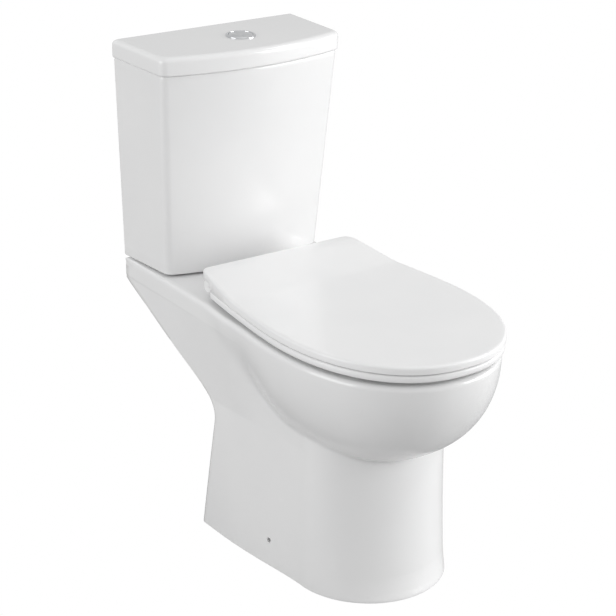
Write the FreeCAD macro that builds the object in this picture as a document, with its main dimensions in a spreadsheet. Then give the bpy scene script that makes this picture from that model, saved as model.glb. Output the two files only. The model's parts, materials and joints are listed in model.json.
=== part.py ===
import FreeCAD, Part
import math
import os
import Sketcher

# Close coupled toilet: a china pan with a hollow pedestal, a china cistern on its shelf, a soft
# close seat and cover, a dual flush valve worked by two buttons in the lid, and a fill valve.
# Millimetres, +Z up, front of the pan to -Y, origin on the floor at the middle of the footprint.

DIMENSIONS = [
    ("total_height", 780, "floor to the top of the cistern lid"),
    ("total_depth", 704, "wall to the front of the seat"),
    ("pan_height", 405, "floor to the rim and shelf"),
    ("pan_wall", 12, "thickness of the china"),
    ("rim_half_width", 172, "half the widest part of the rim"),
    ("rim_widest", 465, "wall to the widest part of the rim"),
    ("rim_setback", 6, "how far the front of the rim lies behind the front of the seat"),
    ("taper_length", 870, "length over which rim and seat would taper to nothing at the back"),
    ("rim_round", 6, "rounding of the rim's top edge"),
    ("rim_step", 1, "how far the rim lies below the shelf"),
    ("bowl_drop", 146, "height over which the bowl curves in"),
    ("bowl_tuck", 120, "how far the bowl would curve in at its lowest level"),
    ("bowl_straight", 17, "upright part of the bowl below the rim"),
    ("opening_half_width", 128, "half the mouth of the bowl"),
    ("rim_border", 38, "width of the rim at its front"),
    ("opening_back", 345, "wall to the back of the mouth"),
    ("rim_depth", 32, "depth of the rim's overhang"),
    ("sump_half_width", 50, "half the width of the water well"),
    ("sump_front", 576, "wall to the front of the water well"),
    ("sump_back", 460, "wall to the back of the water well"),
    ("sump_floor", 57, "floor to the bottom of the water well"),
    ("foot_nose_radius", 127, "front curve of the pedestal"),
    ("foot_nose_back", 484, "wall to the centre of that curve"),
    ("foot_half_width", 150, "half the pedestal's width at the wall line, on the floor"),
    ("neck_nose_radius", 122, "front curve of the pedestal under the shelf"),
    ("shelf_half_width", 157, "half the shelf's width at the wall"),
    ("shelf_band", 30, "height of the shelf's side band"),
    ("heel_back", 213, "wall to the pedestal's back edge on the floor"),
    ("waist_back", 252, "wall to the pedestal's back edge at its narrowest"),
    ("waist_height", 205, "height of that narrowest place"),
    ("outlet_height", 185, "floor to the centre of the outlet"),
    ("outlet_radius", 51, "outside of the outlet spigot"),
    ("outlet_wall", 11, "thickness of the trap tube"),
    ("outlet_back", 85, "wall to the end of the spigot"),
    ("trap_dip", 97, "height of the trap's low centre line"),
    ("trap_crest", 224, "height of the trap's high centre line"),
    ("trap_bend", 52, "bend radius of the trap"),
    ("fixing_hole_radius", 4, "side fixing holes"),
    ("fixing_hole_back", 402, "wall to the side fixing holes"),
    ("fixing_hole_height", 45, "floor to the side fixing holes"),
    ("valve_back", 70, "wall to the flush valve's axis"),
    ("recess_radius", 49, "recess for the coupling seal"),
    ("recess_depth", 22, "depth of that recess"),
    ("inlet_bore", 26, "flushing water passage radius"),
    ("inlet_wall", 9, "wall round that passage"),
    ("inlet_level", 338, "height of that passage's level run"),
    ("cistern_gap", 3.5, "gap between shelf and cistern"),
    ("cistern_wall", 9, "cistern wall thickness"),
    ("cistern_base_back", 157, "half the cistern's width at the wall, bottom"),
    ("cistern_base_front", 148, "half its width at the front corners, bottom"),
    ("cistern_base_depth", 122, "wall to the front corners, bottom"),
    ("cistern_top_back", 172, "half its width at the wall, top"),
    ("cistern_top_front", 167, "half its width at the front corners, top"),
    ("cistern_top_depth", 141, "wall to the front corners, top"),
    ("front_bow", 26, "how far the fronts bow out"),
    ("corner_round", 14, "rounding of the cistern's upright corners"),
    ("lid_height", 30, "height of the lid"),
    ("lid_overhang", 3, "how far the lid stands out past the cistern"),
    ("lid_wall", 10, "thickness of the lid"),
    ("lid_edge", 6, "rounding of the lid's top edge"),
    ("lid_gap", 0.5, "gap between lid and cistern"),
    ("button_offset", 14, "button's centre, right of the middle"),
    ("button_back", 88, "wall to the button's centre"),
    ("bezel_border", 5, "width of the button's ring outside the buttons"),
    ("button_radius", 20, "outside of the button pair"),
    ("button_rise", 4, "button's top above the lid"),
    ("button_travel", 6, "how far a button goes down"),
    ("rod_radius", 2.5, "push rods"),
    ("rod_spread", 9, "push rods either side of the button's centre"),
    ("running_gap", 0.4, "gap round parts that slide"),
    ("bolt_spacing", 160, "distance between the coupling bolts"),
    ("bolt_back", 75, "wall to the coupling bolts"),
    ("bolt_radius", 3.9, "coupling bolts"),
    ("fill_side", 118, "fill valve's axis, right of the middle"),
    ("fill_back", 60, "wall to the fill valve's axis"),
    ("fill_tail_radius", 10.48, "outside of the half inch tail"),
    ("seat_lift", 8, "gap between rim and seat, held by the bumpers"),
    ("ring_thickness", 11, "seat ring"),
    ("ring_half_width", 174, "half the ring's width"),
    ("ring_hole_half", 108, "half the ring's hole"),
    ("ring_border", 60, "width of the ring at its front"),
    ("ring_back", 262, "wall to the ring's back edge"),
    ("ring_hole_back", 335, "wall to the back of the ring's hole"),
    ("cover_gap", 1.5, "gap between ring and cover"),
    ("cover_thickness", 13, "cover"),
    ("cover_half_width", 175, "half the cover's width"),
    ("cover_back", 216, "wall to the cover's back edge"),
    ("cover_rise", 13.5, "how far the cover's back rises over the hinges"),
    ("cover_ramp", 335, "wall to the start of that rise"),
    ("hinge_back", 229, "wall to the hinge axis"),
    ("hinge_spacing", 155, "distance between the seat's fixing holes"),
    ("knuckle_radius", 10.5, "hinge barrels"),
    ("pin_radius", 4, "hinge pins"),
    ("pin_clearance", 0.05, "gap round the hinge pins"),
]

VALUES = {alias: value for alias, value, note in DIMENSIONS}

doc = FreeCAD.newDocument("CloseCoupledToilet")
sheet = doc.addObject("Spreadsheet::Sheet", "Dims")
for row, (alias, value, note) in enumerate(DIMENSIONS, start=1):
    sheet.set("A%d" % row, str(value))
    sheet.set("B%d" % row, note)
    sheet.setAlias("A%d" % row, alias)
doc.recompute()


class Size:
    """A length together with the expression over the sheet that gives it."""

    def __init__(self, value, text):
        self.value = float(value)
        self.text = text

    def __float__(self):
        return self.value

    def __neg__(self):
        return Size(-self.value, "-(%s)" % self.text)

    def __add__(self, other):
        other = as_size(other)
        return Size(self.value + other.value, "(%s + %s)" % (self.text, other.text))

    def __sub__(self, other):
        other = as_size(other)
        return Size(self.value - other.value, "(%s - %s)" % (self.text, other.text))

    def __mul__(self, other):
        other = as_size(other)
        return Size(self.value * other.value, "(%s * %s)" % (self.text, other.text))

    def __truediv__(self, other):
        other = as_size(other)
        return Size(self.value / other.value, "(%s / %s)" % (self.text, other.text))

    def __radd__(self, other):
        return as_size(other) + self

    def __rsub__(self, other):
        return as_size(other) - self

    def __rmul__(self, other):
        return as_size(other) * self


def as_size(number):
    if isinstance(number, Size):
        return number
    return Size(number, repr(float(number)))


class Dimensions:
    """Reads a driving dimension by its alias."""

    def __getattr__(self, alias):
        return Size(VALUES[alias], "Dims." + alias)


D = Dimensions()
NODES = []


def bind(item, name, amount):
    item.setExpression(name, as_size(amount).text)


def place(item, x=0, y=0, z=0):
    for axis, amount in (("x", x), ("y", y), ("z", z)):
        bind(item, "Placement.Base." + axis, amount)


def vec(x, y, z=0):
    return FreeCAD.Vector(float(x), float(y), float(z))


def node(item, label):
    item.Label = label
    NODES.append(item)
    return item


# ---------------------------------------------------------------- levels and lines shared by parts

WALL = D.total_depth / 2
CISTERN_BASE = D.pan_height + D.cistern_gap
CISTERN_FLOOR = CISTERN_BASE + D.cistern_wall
LID_BASE = D.total_height - D.lid_height
CISTERN_TOP = LID_BASE - D.lid_gap
SHELF_PLATE = D.pan_wall + 2
SHELF_UNDER = D.pan_height - SHELF_PLATE
VALVE_Y = WALL - D.valve_back
BUTTON_Y = WALL - D.button_back
BOLT_Y = WALL - D.bolt_back
BOLT_X = D.bolt_spacing / 2
FILL_Y = WALL - D.fill_back
RING_BASE = D.pan_height + D.seat_lift
RING_TOP = RING_BASE + D.ring_thickness
COVER_BASE = RING_TOP + D.cover_gap
COVER_TOP = COVER_BASE + D.cover_thickness
HINGE_Y = WALL - D.hinge_back
HINGE_Z = RING_TOP
POST_X = D.hinge_spacing / 2
RIM_FRONT = D.total_depth - D.rim_setback
MOUTH_FRONT = RIM_FRONT - D.rim_border
VALVE_TAIL = as_size(30)
WALL_HOLE_X = as_size(90)
WALL_HOLE_Z = CISTERN_TOP - 55
WALL_HOLE_RADIUS = as_size(4)
BUTTON_COLLAR = D.button_radius + 1.5


# ---------------------------------------------------------------- sketch and body helpers


def body_named(name):
    return doc.addObject("PartDesign::Body", name)


def sketch_in(body, role, name, offset=0):
    sketch = body.newObject("Sketcher::SketchObject", name)
    plane = [item for item in body.Origin.OriginFeatures if item.Role == role][0]
    sketch.AttachmentSupport = [(plane, "")]
    sketch.MapMode = "FlatFace"
    bind(sketch, "AttachmentOffset.Base.z", offset)
    return sketch


def pin_point(sketch, geometry, end, point):
    """Holds one end point by its bound distances from the sketch's origin."""
    for kind, amount in (("DistanceX", point[0]), ("DistanceY", point[1])):
        rule = Sketcher.Constraint(kind, -1, 1, geometry, end, float(amount))
        index = sketch.addConstraint(rule)
        bind(sketch, "Constraints[%d]" % index, amount)


def add_polygon(sketch, points):
    first = sketch.GeometryCount
    count = len(points)
    for i in range(count):
        start, end = points[i], points[(i + 1) % count]
        sketch.addGeometry(Part.LineSegment(vec(*start), vec(*end)), False)
    for i in range(count):
        following = first + (i + 1) % count
        sketch.addConstraint(Sketcher.Constraint("Coincident", first + i, 2, following, 1))
        pin_point(sketch, first + i, 1, points[i])


def add_circle(sketch, x, y, radius):
    circle = Part.Circle(vec(x, y), FreeCAD.Vector(0, 0, 1), float(radius))
    index = sketch.addGeometry(circle, False)
    pin_point(sketch, index, 3, (x, y))
    rule = sketch.addConstraint(Sketcher.Constraint("Radius", index, float(radius)))
    bind(sketch, "Constraints[%d]" % rule, radius)


def pad(body, sketch, length, name, downward=False):
    feature = body.newObject("PartDesign::Pad", name)
    feature.Profile = sketch
    feature.Reversed = downward
    bind(feature, "Length", length)
    return feature


def pocket(body, sketch, length, name, upward=False):
    """Cuts below its sketch, or above it when upward, and must take material away."""
    doc.recompute()
    before = body.Shape.Volume
    feature = body.newObject("PartDesign::Pocket", name)
    feature.Profile = sketch
    feature.Reversed = upward
    bind(feature, "Length", length)
    doc.recompute()
    if not body.Shape.Volume < before - 0.01:
        raise RuntimeError("pocket %s cuts nothing" % name)
    return feature


def turned(name, profile, x=0, y=0, z=0):
    """A body turned about the upright axis through (x, y, z); profile is (radius, height)."""
    body = body_named(name)
    sketch = sketch_in(body, "XZ_Plane", name + "Profile")
    add_polygon(sketch, profile)
    feature = body.newObject("PartDesign::Revolution", name + "Turn")
    feature.Profile = sketch
    feature.ReferenceAxis = (sketch, ["V_Axis"])
    feature.Angle = 360
    place(body, x, y, z)
    doc.recompute()
    return body


def tube(name, outer, inner, height, x=0, y=0, z=0):
    """A plain ring or tube standing at (x, y, z)."""
    return turned(name, [(inner, 0), (outer, 0), (outer, height), (inner, height)], x, y, z)


def rod(name, radius, height, x=0, y=0, z=0):
    item = doc.addObject("Part::Cylinder", name)
    bind(item, "Radius", radius)
    bind(item, "Height", height)
    place(item, x, y, z)
    return item


def cross_rod(name, radius, length, x, y, z):
    """A cylinder lying along +X from (x, y, z)."""
    item = rod(name, radius, length, x, y, z)
    turn = FreeCAD.Rotation(FreeCAD.Vector(0, 1, 0), 90)
    item.Placement = FreeCAD.Placement(item.Placement.Base, turn)
    place(item, x, y, z)
    return item


def block(name, length, width, height, x, y, z):
    item = doc.addObject("Part::Box", name)
    for side, amount in (("Length", length), ("Width", width), ("Height", height)):
        bind(item, side, amount)
    place(item, x, y, z)
    return item


def join(name, *items):
    fused = doc.addObject("Part::MultiFuse", name)
    fused.Shapes = list(items)
    fused.Refine = True
    return fused


def cut(name, base, *tools):
    tool = tools[0] if len(tools) == 1 else join(name + "Tools", *tools)
    result = doc.addObject("Part::Cut", name)
    result.Base = base
    result.Tool = tool
    return result


def mirrored(item):
    mirror = doc.addObject("Part::Mirroring", item.Name + "Mirror")
    mirror.Source = item
    mirror.Normal = FreeCAD.Vector(1, 0, 0)
    mirror.Base = FreeCAD.Vector(0, 0, 0)
    return mirror


def group(name, *items):
    """Equal pieces at several places, kept as separate solids of one node."""
    compound = doc.addObject("Part::Compound", name)
    compound.Links = list(items)
    return compound


def pair(name, item):
    return group(name, item, mirrored(item))


# ---------------------------------------------------------------- plan outlines as wires


def superellipse_points(half, front, middle, back, count=48, power=2.25):
    """Closed egg in plan: half its width, and distances from the wall of its ends and middle."""
    points = []
    for i in range(count):
        angle = 2 * math.pi * i / count
        across, along = math.cos(angle), math.sin(angle)
        x = math.copysign(abs(across) ** (2 / power), across) * half
        reach = front - middle if along > 0 else middle - back
        along = math.copysign(abs(along) ** (2 / power), along)
        points.append((x, middle + along * reach))
    return points


def egg_wire(half, front, back, z, middle=None):
    if middle is None:
        middle = (front + back) / 2
    points = superellipse_points(half, front, middle, back)
    curve = Part.BSplineCurve()
    curve.interpolate(Points=[wall_point(x, d, z) for x, d in points], PeriodicFlag=True)
    return Part.Wire([curve.toShape()])


def wall_point(x, distance, z):
    """A point given by its distance from the wall."""
    return FreeCAD.Vector(x, float(WALL) - distance, z)


def seat_points(half, front, widest, back, sides=8, nose=14, power=2.25):
    """Open D in plan from the right back corner round the front to the left back corner."""
    right = []
    for i in range(sides):
        distance = back + (widest - back) * i / sides
        share = (widest - distance) / VALUES["taper_length"]
        right.append((half * (1 - share ** 1.4), distance))
    for i in range(nose + 1):
        angle = math.pi / 2 * i / nose
        x = half * math.cos(angle) ** (2 / power) if i < nose else 0.0
        right.append((x, widest + (front - widest) * math.sin(angle) ** (2 / power)))
    left = [(-x, distance) for x, distance in reversed(right[:-1])]
    return right + left


def seat_wire(half, front, widest, back, z):
    points = [wall_point(x, d, z) for x, d in seat_points(half, front, widest, back)]
    curve = Part.BSplineCurve()
    curve.interpolate(Points=points)
    closing = Part.makeLine(points[-1], points[0])
    return Part.Wire([curve.toShape(), closing])


RIM_REACH = 120.0


def rim_wire(inset, z):
    """The rim's outline, carried back under the shelf as far as RIM_REACH behind the mouth."""
    half = VALUES["rim_half_width"] - inset
    front = float(RIM_FRONT) - inset
    back = VALUES["opening_back"] - RIM_REACH
    return seat_wire(half, front, VALUES["rim_widest"], back, z)


def foot_wire(nose_radius, side, z, inset=0.0, back=0.0):
    """Round nose with straight tangent sides that end on the wall line."""
    radius = nose_radius - inset
    centre = VALUES["foot_nose_back"]
    side = side - inset
    reach = math.hypot(side, centre)
    lean = math.atan2(-centre, side) + math.acos(radius / reach)
    touch_x = radius * math.cos(lean)
    touch_d = centre + radius * math.sin(lean)
    slope = (side - touch_x) / touch_d
    end_x = side - slope * back
    corner_right, corner_left = wall_point(end_x, back, z), wall_point(-end_x, back, z)
    right, left = wall_point(touch_x, touch_d, z), wall_point(-touch_x, touch_d, z)
    nose = wall_point(0, centre + radius, z)
    edges = [Part.makeLine(corner_right, right), Part.Arc(right, nose, left).toShape(),
             Part.makeLine(left, corner_left), Part.makeLine(corner_left, corner_right)]
    return Part.Wire(edges)


def foot_block(base, top, inset=0.0, back=0.0):
    """The pedestal's solid between two levels, set in by a wall thickness."""
    wires = []
    for z in (base, top):
        share = z / (VALUES["pan_height"] - VALUES["shelf_band"])
        nose = (1 - share) * VALUES["foot_nose_radius"] + share * VALUES["neck_nose_radius"]
        side = (1 - share) * VALUES["foot_half_width"] + share * (VALUES["shelf_half_width"] - 2)
        wires.append(foot_wire(nose, side, z, inset, back))
    return Part.makeLoft(wires, True, True)


# ---------------------------------------------------------------- the china pan


def bowl_curve(angle):
    """Height and inset of the bowl's outside at an angle round its lower curve."""
    start = VALUES["pan_height"] - VALUES["bowl_straight"]
    height = start - VALUES["bowl_drop"] * math.sin(math.radians(angle))
    return height, VALUES["bowl_tuck"] * (1 - math.cos(math.radians(angle)))


def bowl_outside():
    top = VALUES["pan_height"] - VALUES["rim_step"]
    edge = VALUES["rim_round"]
    wires = []
    for angle in (0, 30, 60, 90):
        turn = math.radians(angle)
        wires.append(rim_wire(edge * (1 - math.sin(turn)), top - edge * (1 - math.cos(turn))))
    for angle in (0, 15, 30, 45, 58, 70, 80):
        height, inset = bowl_curve(angle)
        wires.append(rim_wire(inset, height))
    return Part.makeLoft(wires, True, False)


def bowl_levels():
    """Height, half width, front, back and widest place of the bowl's inside, rim to sump."""
    levels = []
    for angle in (7, 18, 30, 45, 58, 70):
        height, inset = bowl_curve(angle)
        inset += VALUES["pan_wall"] + 1
        levels.append((height, VALUES["rim_half_width"] - inset, float(RIM_FRONT) - inset,
                       VALUES["opening_back"] + inset - VALUES["pan_wall"],
                       VALUES["rim_widest"]))
    height, half, front, back, middle = levels[-1]
    sump_middle = (VALUES["sump_front"] + VALUES["sump_back"]) / 2
    sump_top = VALUES["sump_floor"] + 90
    for share in (1 / 3, 2 / 3, 1):
        blend = 1 - (1 - share) ** 3
        levels.append((height + (sump_top - height) * share,
                       half + (VALUES["sump_half_width"] - half) * blend,
                       front + (VALUES["sump_front"] - front) * blend,
                       back + (VALUES["sump_back"] - back) * blend,
                       middle + (sump_middle - middle) * blend))
    for rise, inset in ((30, 4), (0, 16)):
        levels.append((VALUES["sump_floor"] + rise, VALUES["sump_half_width"] - inset,
                       VALUES["sump_front"] - inset, VALUES["sump_back"] + inset, sump_middle))
    return levels


def bowl_inside(grow=0.0):
    levels = bowl_levels()
    if grow:
        height, half, front, back, middle = levels[-1]
        levels.append((height - grow, half, front, back, middle))
    wires = [egg_wire(half + grow, front + grow, back - grow, height, middle)
             for height, half, front, back, middle in levels]
    return Part.makeLoft(wires, True, False)


def bent_pipe(points, radius, bend):
    """A round bar along straight runs joined by tangent arcs; points are (distance, height)."""
    corners = [wall_point(0, d, z) for d, z in points]
    edges = []
    start = corners[0]
    for before, corner, after in zip(corners, corners[1:], corners[2:]):
        to_before = (before - corner).normalize()
        to_after = (after - corner).normalize()
        half_angle = to_before.getAngle(to_after) / 2
        setback = bend / math.tan(half_angle)
        first, last = corner + to_before * setback, corner + to_after * setback
        middle_line = (to_before + to_after).normalize()
        middle = corner + middle_line * (bend / math.sin(half_angle) - bend)
        edges += [Part.makeLine(start, first), Part.Arc(first, middle, last).toShape()]
        start = last
    edges.append(Part.makeLine(start, corners[-1]))
    spine = Part.Wire(edges)
    direction = corners[1] - corners[0]
    profile = Part.Wire([Part.makeCircle(radius, corners[0], direction)])
    return spine.makePipeShell([profile], True, True)


def trap_path(outward=0.0):
    low, crest, outlet = VALUES["trap_dip"], VALUES["trap_crest"], VALUES["outlet_height"]
    return [(VALUES["sump_back"] + 60, low), (VALUES["sump_back"] - 30, low),
            (VALUES["sump_back"] - 105, crest), (VALUES["sump_back"] - 170, crest),
            (VALUES["sump_back"] - 235, outlet), (VALUES["outlet_back"] - outward, outlet)]


def inlet_path():
    level = VALUES["inlet_level"]
    top = VALUES["pan_height"] - VALUES["recess_depth"] + 1
    return [(VALUES["valve_back"], top), (VALUES["valve_back"], level),
            (VALUES["opening_back"] + 8, level)]


def heel_cutter():
    """Everything behind the pedestal's back edge: a slant under the shelf, then a heel."""
    band = VALUES["pan_height"] - VALUES["shelf_band"]
    width = VALUES["shelf_half_width"] + 50
    corners = [(-10.0, band - 2), (VALUES["waist_back"], VALUES["waist_height"]),
               (VALUES["heel_back"] - 2, -10.0), (-10.0, -10.0)]
    top, waist, heel, low = [FreeCAD.Vector(-width, float(WALL) - d, z) for d, z in corners]
    blend = 45.0
    first = waist + (top - waist).normalize() * blend
    last = waist + (heel - waist).normalize() * blend
    bulge = waist + ((top - waist).normalize() + (heel - waist).normalize()) * (blend * 0.25)
    edges = [Part.makeLine(top, first), Part.Arc(first, bulge, last).toShape(),
             Part.makeLine(last, heel), Part.makeLine(heel, low), Part.makeLine(low, top)]
    return Part.Face(Part.Wire(edges)).extrude(FreeCAD.Vector(2 * width, 0, 0))


def shelf_block():
    """The flat shelf that carries the cistern, with its upright side band."""
    top = VALUES["pan_height"]
    half, front_half = VALUES["shelf_half_width"], VALUES["shelf_half_width"] + 3
    front = VALUES["opening_back"] - 15
    edge = VALUES["rim_round"]
    wires = []
    for z, inset in ((top - VALUES["shelf_band"], 0), (top - edge, 0), (top - edge * 0.3, edge * 0.3),
                     (top, edge)):
        corners = [(-half + inset, 0), (half - inset, 0), (front_half - inset, front),
                   (-front_half + inset, front)]
        points = [wall_point(x, d, z) for x, d in corners]
        wires.append(Part.makePolygon(points + points[:1]))
    return Part.makeLoft(wires, True, True)


def upright(x, distance, low, high, radius):
    return Part.makeCylinder(float(radius), float(high) - float(low),
                             wall_point(float(x), float(distance), float(low)))


def make_pan():
    wall = VALUES["pan_wall"]
    top = VALUES["pan_height"]
    pipe, pipe_wall = VALUES["outlet_radius"], VALUES["outlet_wall"]
    inlet, inlet_wall = VALUES["inlet_bore"], VALUES["inlet_wall"]
    recess, recess_depth = VALUES["recess_radius"], VALUES["recess_depth"]
    trap_tube = bent_pipe(trap_path(), pipe, VALUES["trap_bend"])
    inlet_tube = bent_pipe(inlet_path(), inlet + inlet_wall, inlet + inlet_wall + 8)
    boss = upright(0, VALUES["valve_back"], top - recess_depth - wall, top - 1, recess + wall)

    hollow = foot_block(-5.0, float(SHELF_UNDER), wall, -30.0)
    for kept in (bowl_inside(wall), trap_tube, inlet_tube, boss):
        hollow = hollow.cut(kept)
    china = foot_block(0.0, top - VALUES["shelf_band"] + 6)
    for added in (shelf_block(), bowl_outside()):
        china = china.fuse(added)
    for removed in (hollow, heel_cutter()):
        china = china.cut(removed)
    for added in (trap_tube, inlet_tube):
        china = china.fuse(added)

    mouth_base = top - VALUES["rim_depth"] - wall - 8
    mouth = Part.Face(egg_wire(VALUES["opening_half_width"], float(MOUTH_FRONT),
                               VALUES["opening_back"], mouth_base))
    mouth = mouth.extrude(FreeCAD.Vector(0, 0, top - mouth_base + 5))
    waterway = [bowl_inside(), mouth,
                bent_pipe(trap_path(5), pipe - pipe_wall, VALUES["trap_bend"]),
                bent_pipe(inlet_path(), inlet, inlet + inlet_wall + 8),
                upright(0, VALUES["valve_back"], top - recess_depth, top + 5, recess)]
    for removed in waterway + pan_holes():
        china = china.cut(removed)
    above = Part.makeBox(600, 1200, 200, FreeCAD.Vector(-300, -600, top - VALUES["shelf_band"]))
    return cast_sections(china, [above, bowl_inside(wall), trap_tube, inlet_tube])


def cast_sections(china, moulds):
    """The china as the pieces it is cast in, which meet face to face and are fired as one."""
    sections, rest = [], china
    for mould in moulds:
        sections.append(Part.makeCompound(rest.common(mould).Solids))
        rest = rest.cut(mould)
    return sections + [Part.makeCompound(rest.Solids)]


FILL_HOLE_RADIUS = 21.0
BOLT_HOLE_RADIUS = 6.5
SEAT_HOLE_RADIUS = 7.0


def pan_holes():
    """Coupling bolts, water inlet, seat fixings and side fixings."""
    low, high = float(SHELF_UNDER) - 20, VALUES["pan_height"] + 5
    holes = [upright(VALUES["fill_side"], VALUES["fill_back"], low, high, FILL_HOLE_RADIUS)]
    for side in (-1, 1):
        holes.append(upright(side * float(BOLT_X), VALUES["bolt_back"], low, high, BOLT_HOLE_RADIUS))
        holes.append(upright(side * float(POST_X), VALUES["hinge_back"], low, high, SEAT_HOLE_RADIUS))
        start = wall_point(side * 200, VALUES["fixing_hole_back"], VALUES["fixing_hole_height"])
        holes.append(Part.makeCylinder(VALUES["fixing_hole_radius"], 120, start,
                                       FreeCAD.Vector(-side, 0, 0)))
    return holes


PAN_SECTIONS = ("rim", "bowl", "trap", "inlet", "pedestal")
for section, shape in zip(PAN_SECTIONS, make_pan()):
    china = doc.addObject("Part::Feature", "Pan" + section.title())
    china.Shape = shape
    node(china, "pan_" + section)


# ---------------------------------------------------------------- cistern and lid


def bowed_wire(sizes, inset, z, corner):
    """Straight back and sides, an arc across the front, and rounded corners."""
    back_half, front_half, depth = sizes
    corners = [(-front_half + inset, depth - inset), (-back_half + inset, inset),
               (back_half - inset, inset), (front_half - inset, depth - inset)]
    points = [wall_point(x, d, z) for x, d in corners]
    apex = wall_point(0, depth + VALUES["front_bow"] - inset, z)
    edges = [Part.makeLine(start, end) for start, end in zip(points, points[1:])]
    edges.append(Part.Arc(points[3], apex, points[0]).toShape())
    return Part.Wire(edges).makeOffset2D(-corner, 2).makeOffset2D(corner, 0)


def cistern_sizes(level):
    return [VALUES["cistern_%s_%s" % (level, name)] for name in ("back", "front", "depth")]


def cistern_block(inset, low, high, corner):
    """The tapered cistern between its base and top outlines, set in by inset."""
    wires = [bowed_wire(cistern_sizes("base"), inset, low, corner),
             bowed_wire(cistern_sizes("top"), inset, high, corner)]
    return Part.makeLoft(wires, True, True)


def make_cistern():
    base, top = float(CISTERN_BASE), float(CISTERN_TOP)
    wall, corner = VALUES["cistern_wall"], VALUES["corner_round"]
    shell = cistern_block(0, base, top, corner)
    shell = shell.cut(cistern_block(wall, base + wall, top + 0.1, corner - wall + 3))
    drillings = [(0, VALUES["valve_back"], float(VALVE_TAIL) + 1.5),
                 (float(BOLT_X), VALUES["bolt_back"], VALUES["bolt_radius"] + 2),
                 (-float(BOLT_X), VALUES["bolt_back"], VALUES["bolt_radius"] + 2),
                 (VALUES["fill_side"], VALUES["fill_back"], VALUES["fill_tail_radius"] + 0.9)]
    for x, distance, radius in drillings:
        shell = shell.cut(upright(x, distance, base - 1, base + wall + 1, radius))
    for side in (-1, 1):
        start = wall_point(side * float(WALL_HOLE_X), -1, float(WALL_HOLE_Z))
        shell = shell.cut(Part.makeCylinder(float(WALL_HOLE_RADIUS), wall + 3, start,
                                            FreeCAD.Vector(0, -1, 0)))
    cistern = doc.addObject("Part::Feature", "Cistern")
    cistern.Shape = shell
    return node(cistern, "cistern")


def make_lid():
    """A shallow cap, level with the cistern at the wall and standing out past it elsewhere."""
    over, wall = VALUES["lid_overhang"], VALUES["lid_wall"]
    back, front, depth = cistern_sizes("top")
    sizes = (back + over, front + over, depth + over)
    base, height = float(LID_BASE), VALUES["lid_height"]
    outline = bowed_wire(sizes, 0, base, VALUES["corner_round"])
    cap = Part.Face(outline).extrude(FreeCAD.Vector(0, 0, height))
    crown = [edge for edge in cap.Edges if edge.BoundBox.ZMin > base + height - 0.01]
    cap = cap.makeFillet(VALUES["lid_edge"], crown)
    hollow = bowed_wire(sizes, wall, base - 1, VALUES["corner_round"] - wall + 3)
    cap = cap.cut(Part.Face(hollow).extrude(FreeCAD.Vector(0, 0, height - wall + 1)))
    cap = cap.cut(upright(VALUES["button_offset"], VALUES["button_back"], base, base + height + 1,
                          float(BUTTON_COLLAR) + 1))
    lid = doc.addObject("Part::Feature", "CisternLid")
    lid.Shape = cap
    return node(lid, "cistern_lid")


make_cistern()
make_lid()


# ---------------------------------------------------------------- what joins cistern to pan

SEAL_BASE = D.pan_height - D.recess_depth
seal = tube("CouplingSeal", D.recess_radius - 1, VALVE_TAIL + 11.5, CISTERN_BASE - SEAL_BASE,
            0, VALVE_Y, SEAL_BASE)
node(seal, "coupling_seal")

pad_disc = rod("ShelfPad", 9, D.cistern_gap, D.cistern_base_front - 18, WALL - 100, D.pan_height)
rear_disc = rod("RearShelfPad", 9, D.cistern_gap, D.cistern_base_back - 62, WALL - 22, D.pan_height)
node(group("ShelfPads", pad_disc, mirrored(pad_disc), rear_disc, mirrored(rear_disc)),
     "shelf_pads")

BOLT_HEAD_Z = CISTERN_FLOOR + 6
BOLT_END_Z = SHELF_UNDER - 34
bolt = turned("CouplingBolt", [(0, BOLT_END_Z), (D.bolt_radius, BOLT_END_Z),
                               (D.bolt_radius, BOLT_HEAD_Z), (9, BOLT_HEAD_Z),
                               (7, BOLT_HEAD_Z + 5), (0, BOLT_HEAD_Z + 5)], BOLT_X, BOLT_Y)
node(pair("CouplingBolts", bolt), "coupling_bolts")

cone = turned("BoltCone", [(D.bolt_radius, CISTERN_FLOOR), (13, CISTERN_FLOOR),
                           (10, BOLT_HEAD_Z), (D.bolt_radius, BOLT_HEAD_Z)], BOLT_X, BOLT_Y)
node(pair("BoltCones", cone), "bolt_seals")

plate = tube("BoltPlate", 15, D.bolt_radius + 0.2, 3, BOLT_X, BOLT_Y, SHELF_UNDER - 3)
node(pair("BoltPlates", plate), "bolt_washers")


def wing_nut(name, bore, radius, height, span, x, y, z):
    """A round nut with two flat wings, its bore on the bolt."""
    body = body_named(name)
    round_part = sketch_in(body, "XY_Plane", name + "Round")
    add_circle(round_part, 0, 0, radius)
    pad(body, round_part, height, name + "Boss")
    wings = sketch_in(body, "XY_Plane", name + "Wings")
    half = as_size(1.6)
    add_polygon(wings, [(-span, -half), (span, -half), (span, half), (-span, half)])
    pad(body, wings, height * 1.25, name + "Wing")
    doc.recompute()
    hole = sketch_in(body, "XY_Plane", name + "Hole")
    add_circle(hole, 0, 0, bore)
    pocket(body, hole, height * 1.25 + 1, name + "Bore", upward=True)
    place(body, x, y, z)
    doc.recompute()
    return body


wing = wing_nut("WingNut", D.bolt_radius, 9, as_size(11), as_size(19), BOLT_X, BOLT_Y,
                SHELF_UNDER - 3 - 11 * 1.25)
node(pair("WingNuts", wing), "wing_nuts")


# ---------------------------------------------------------------- flush valve

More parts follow.
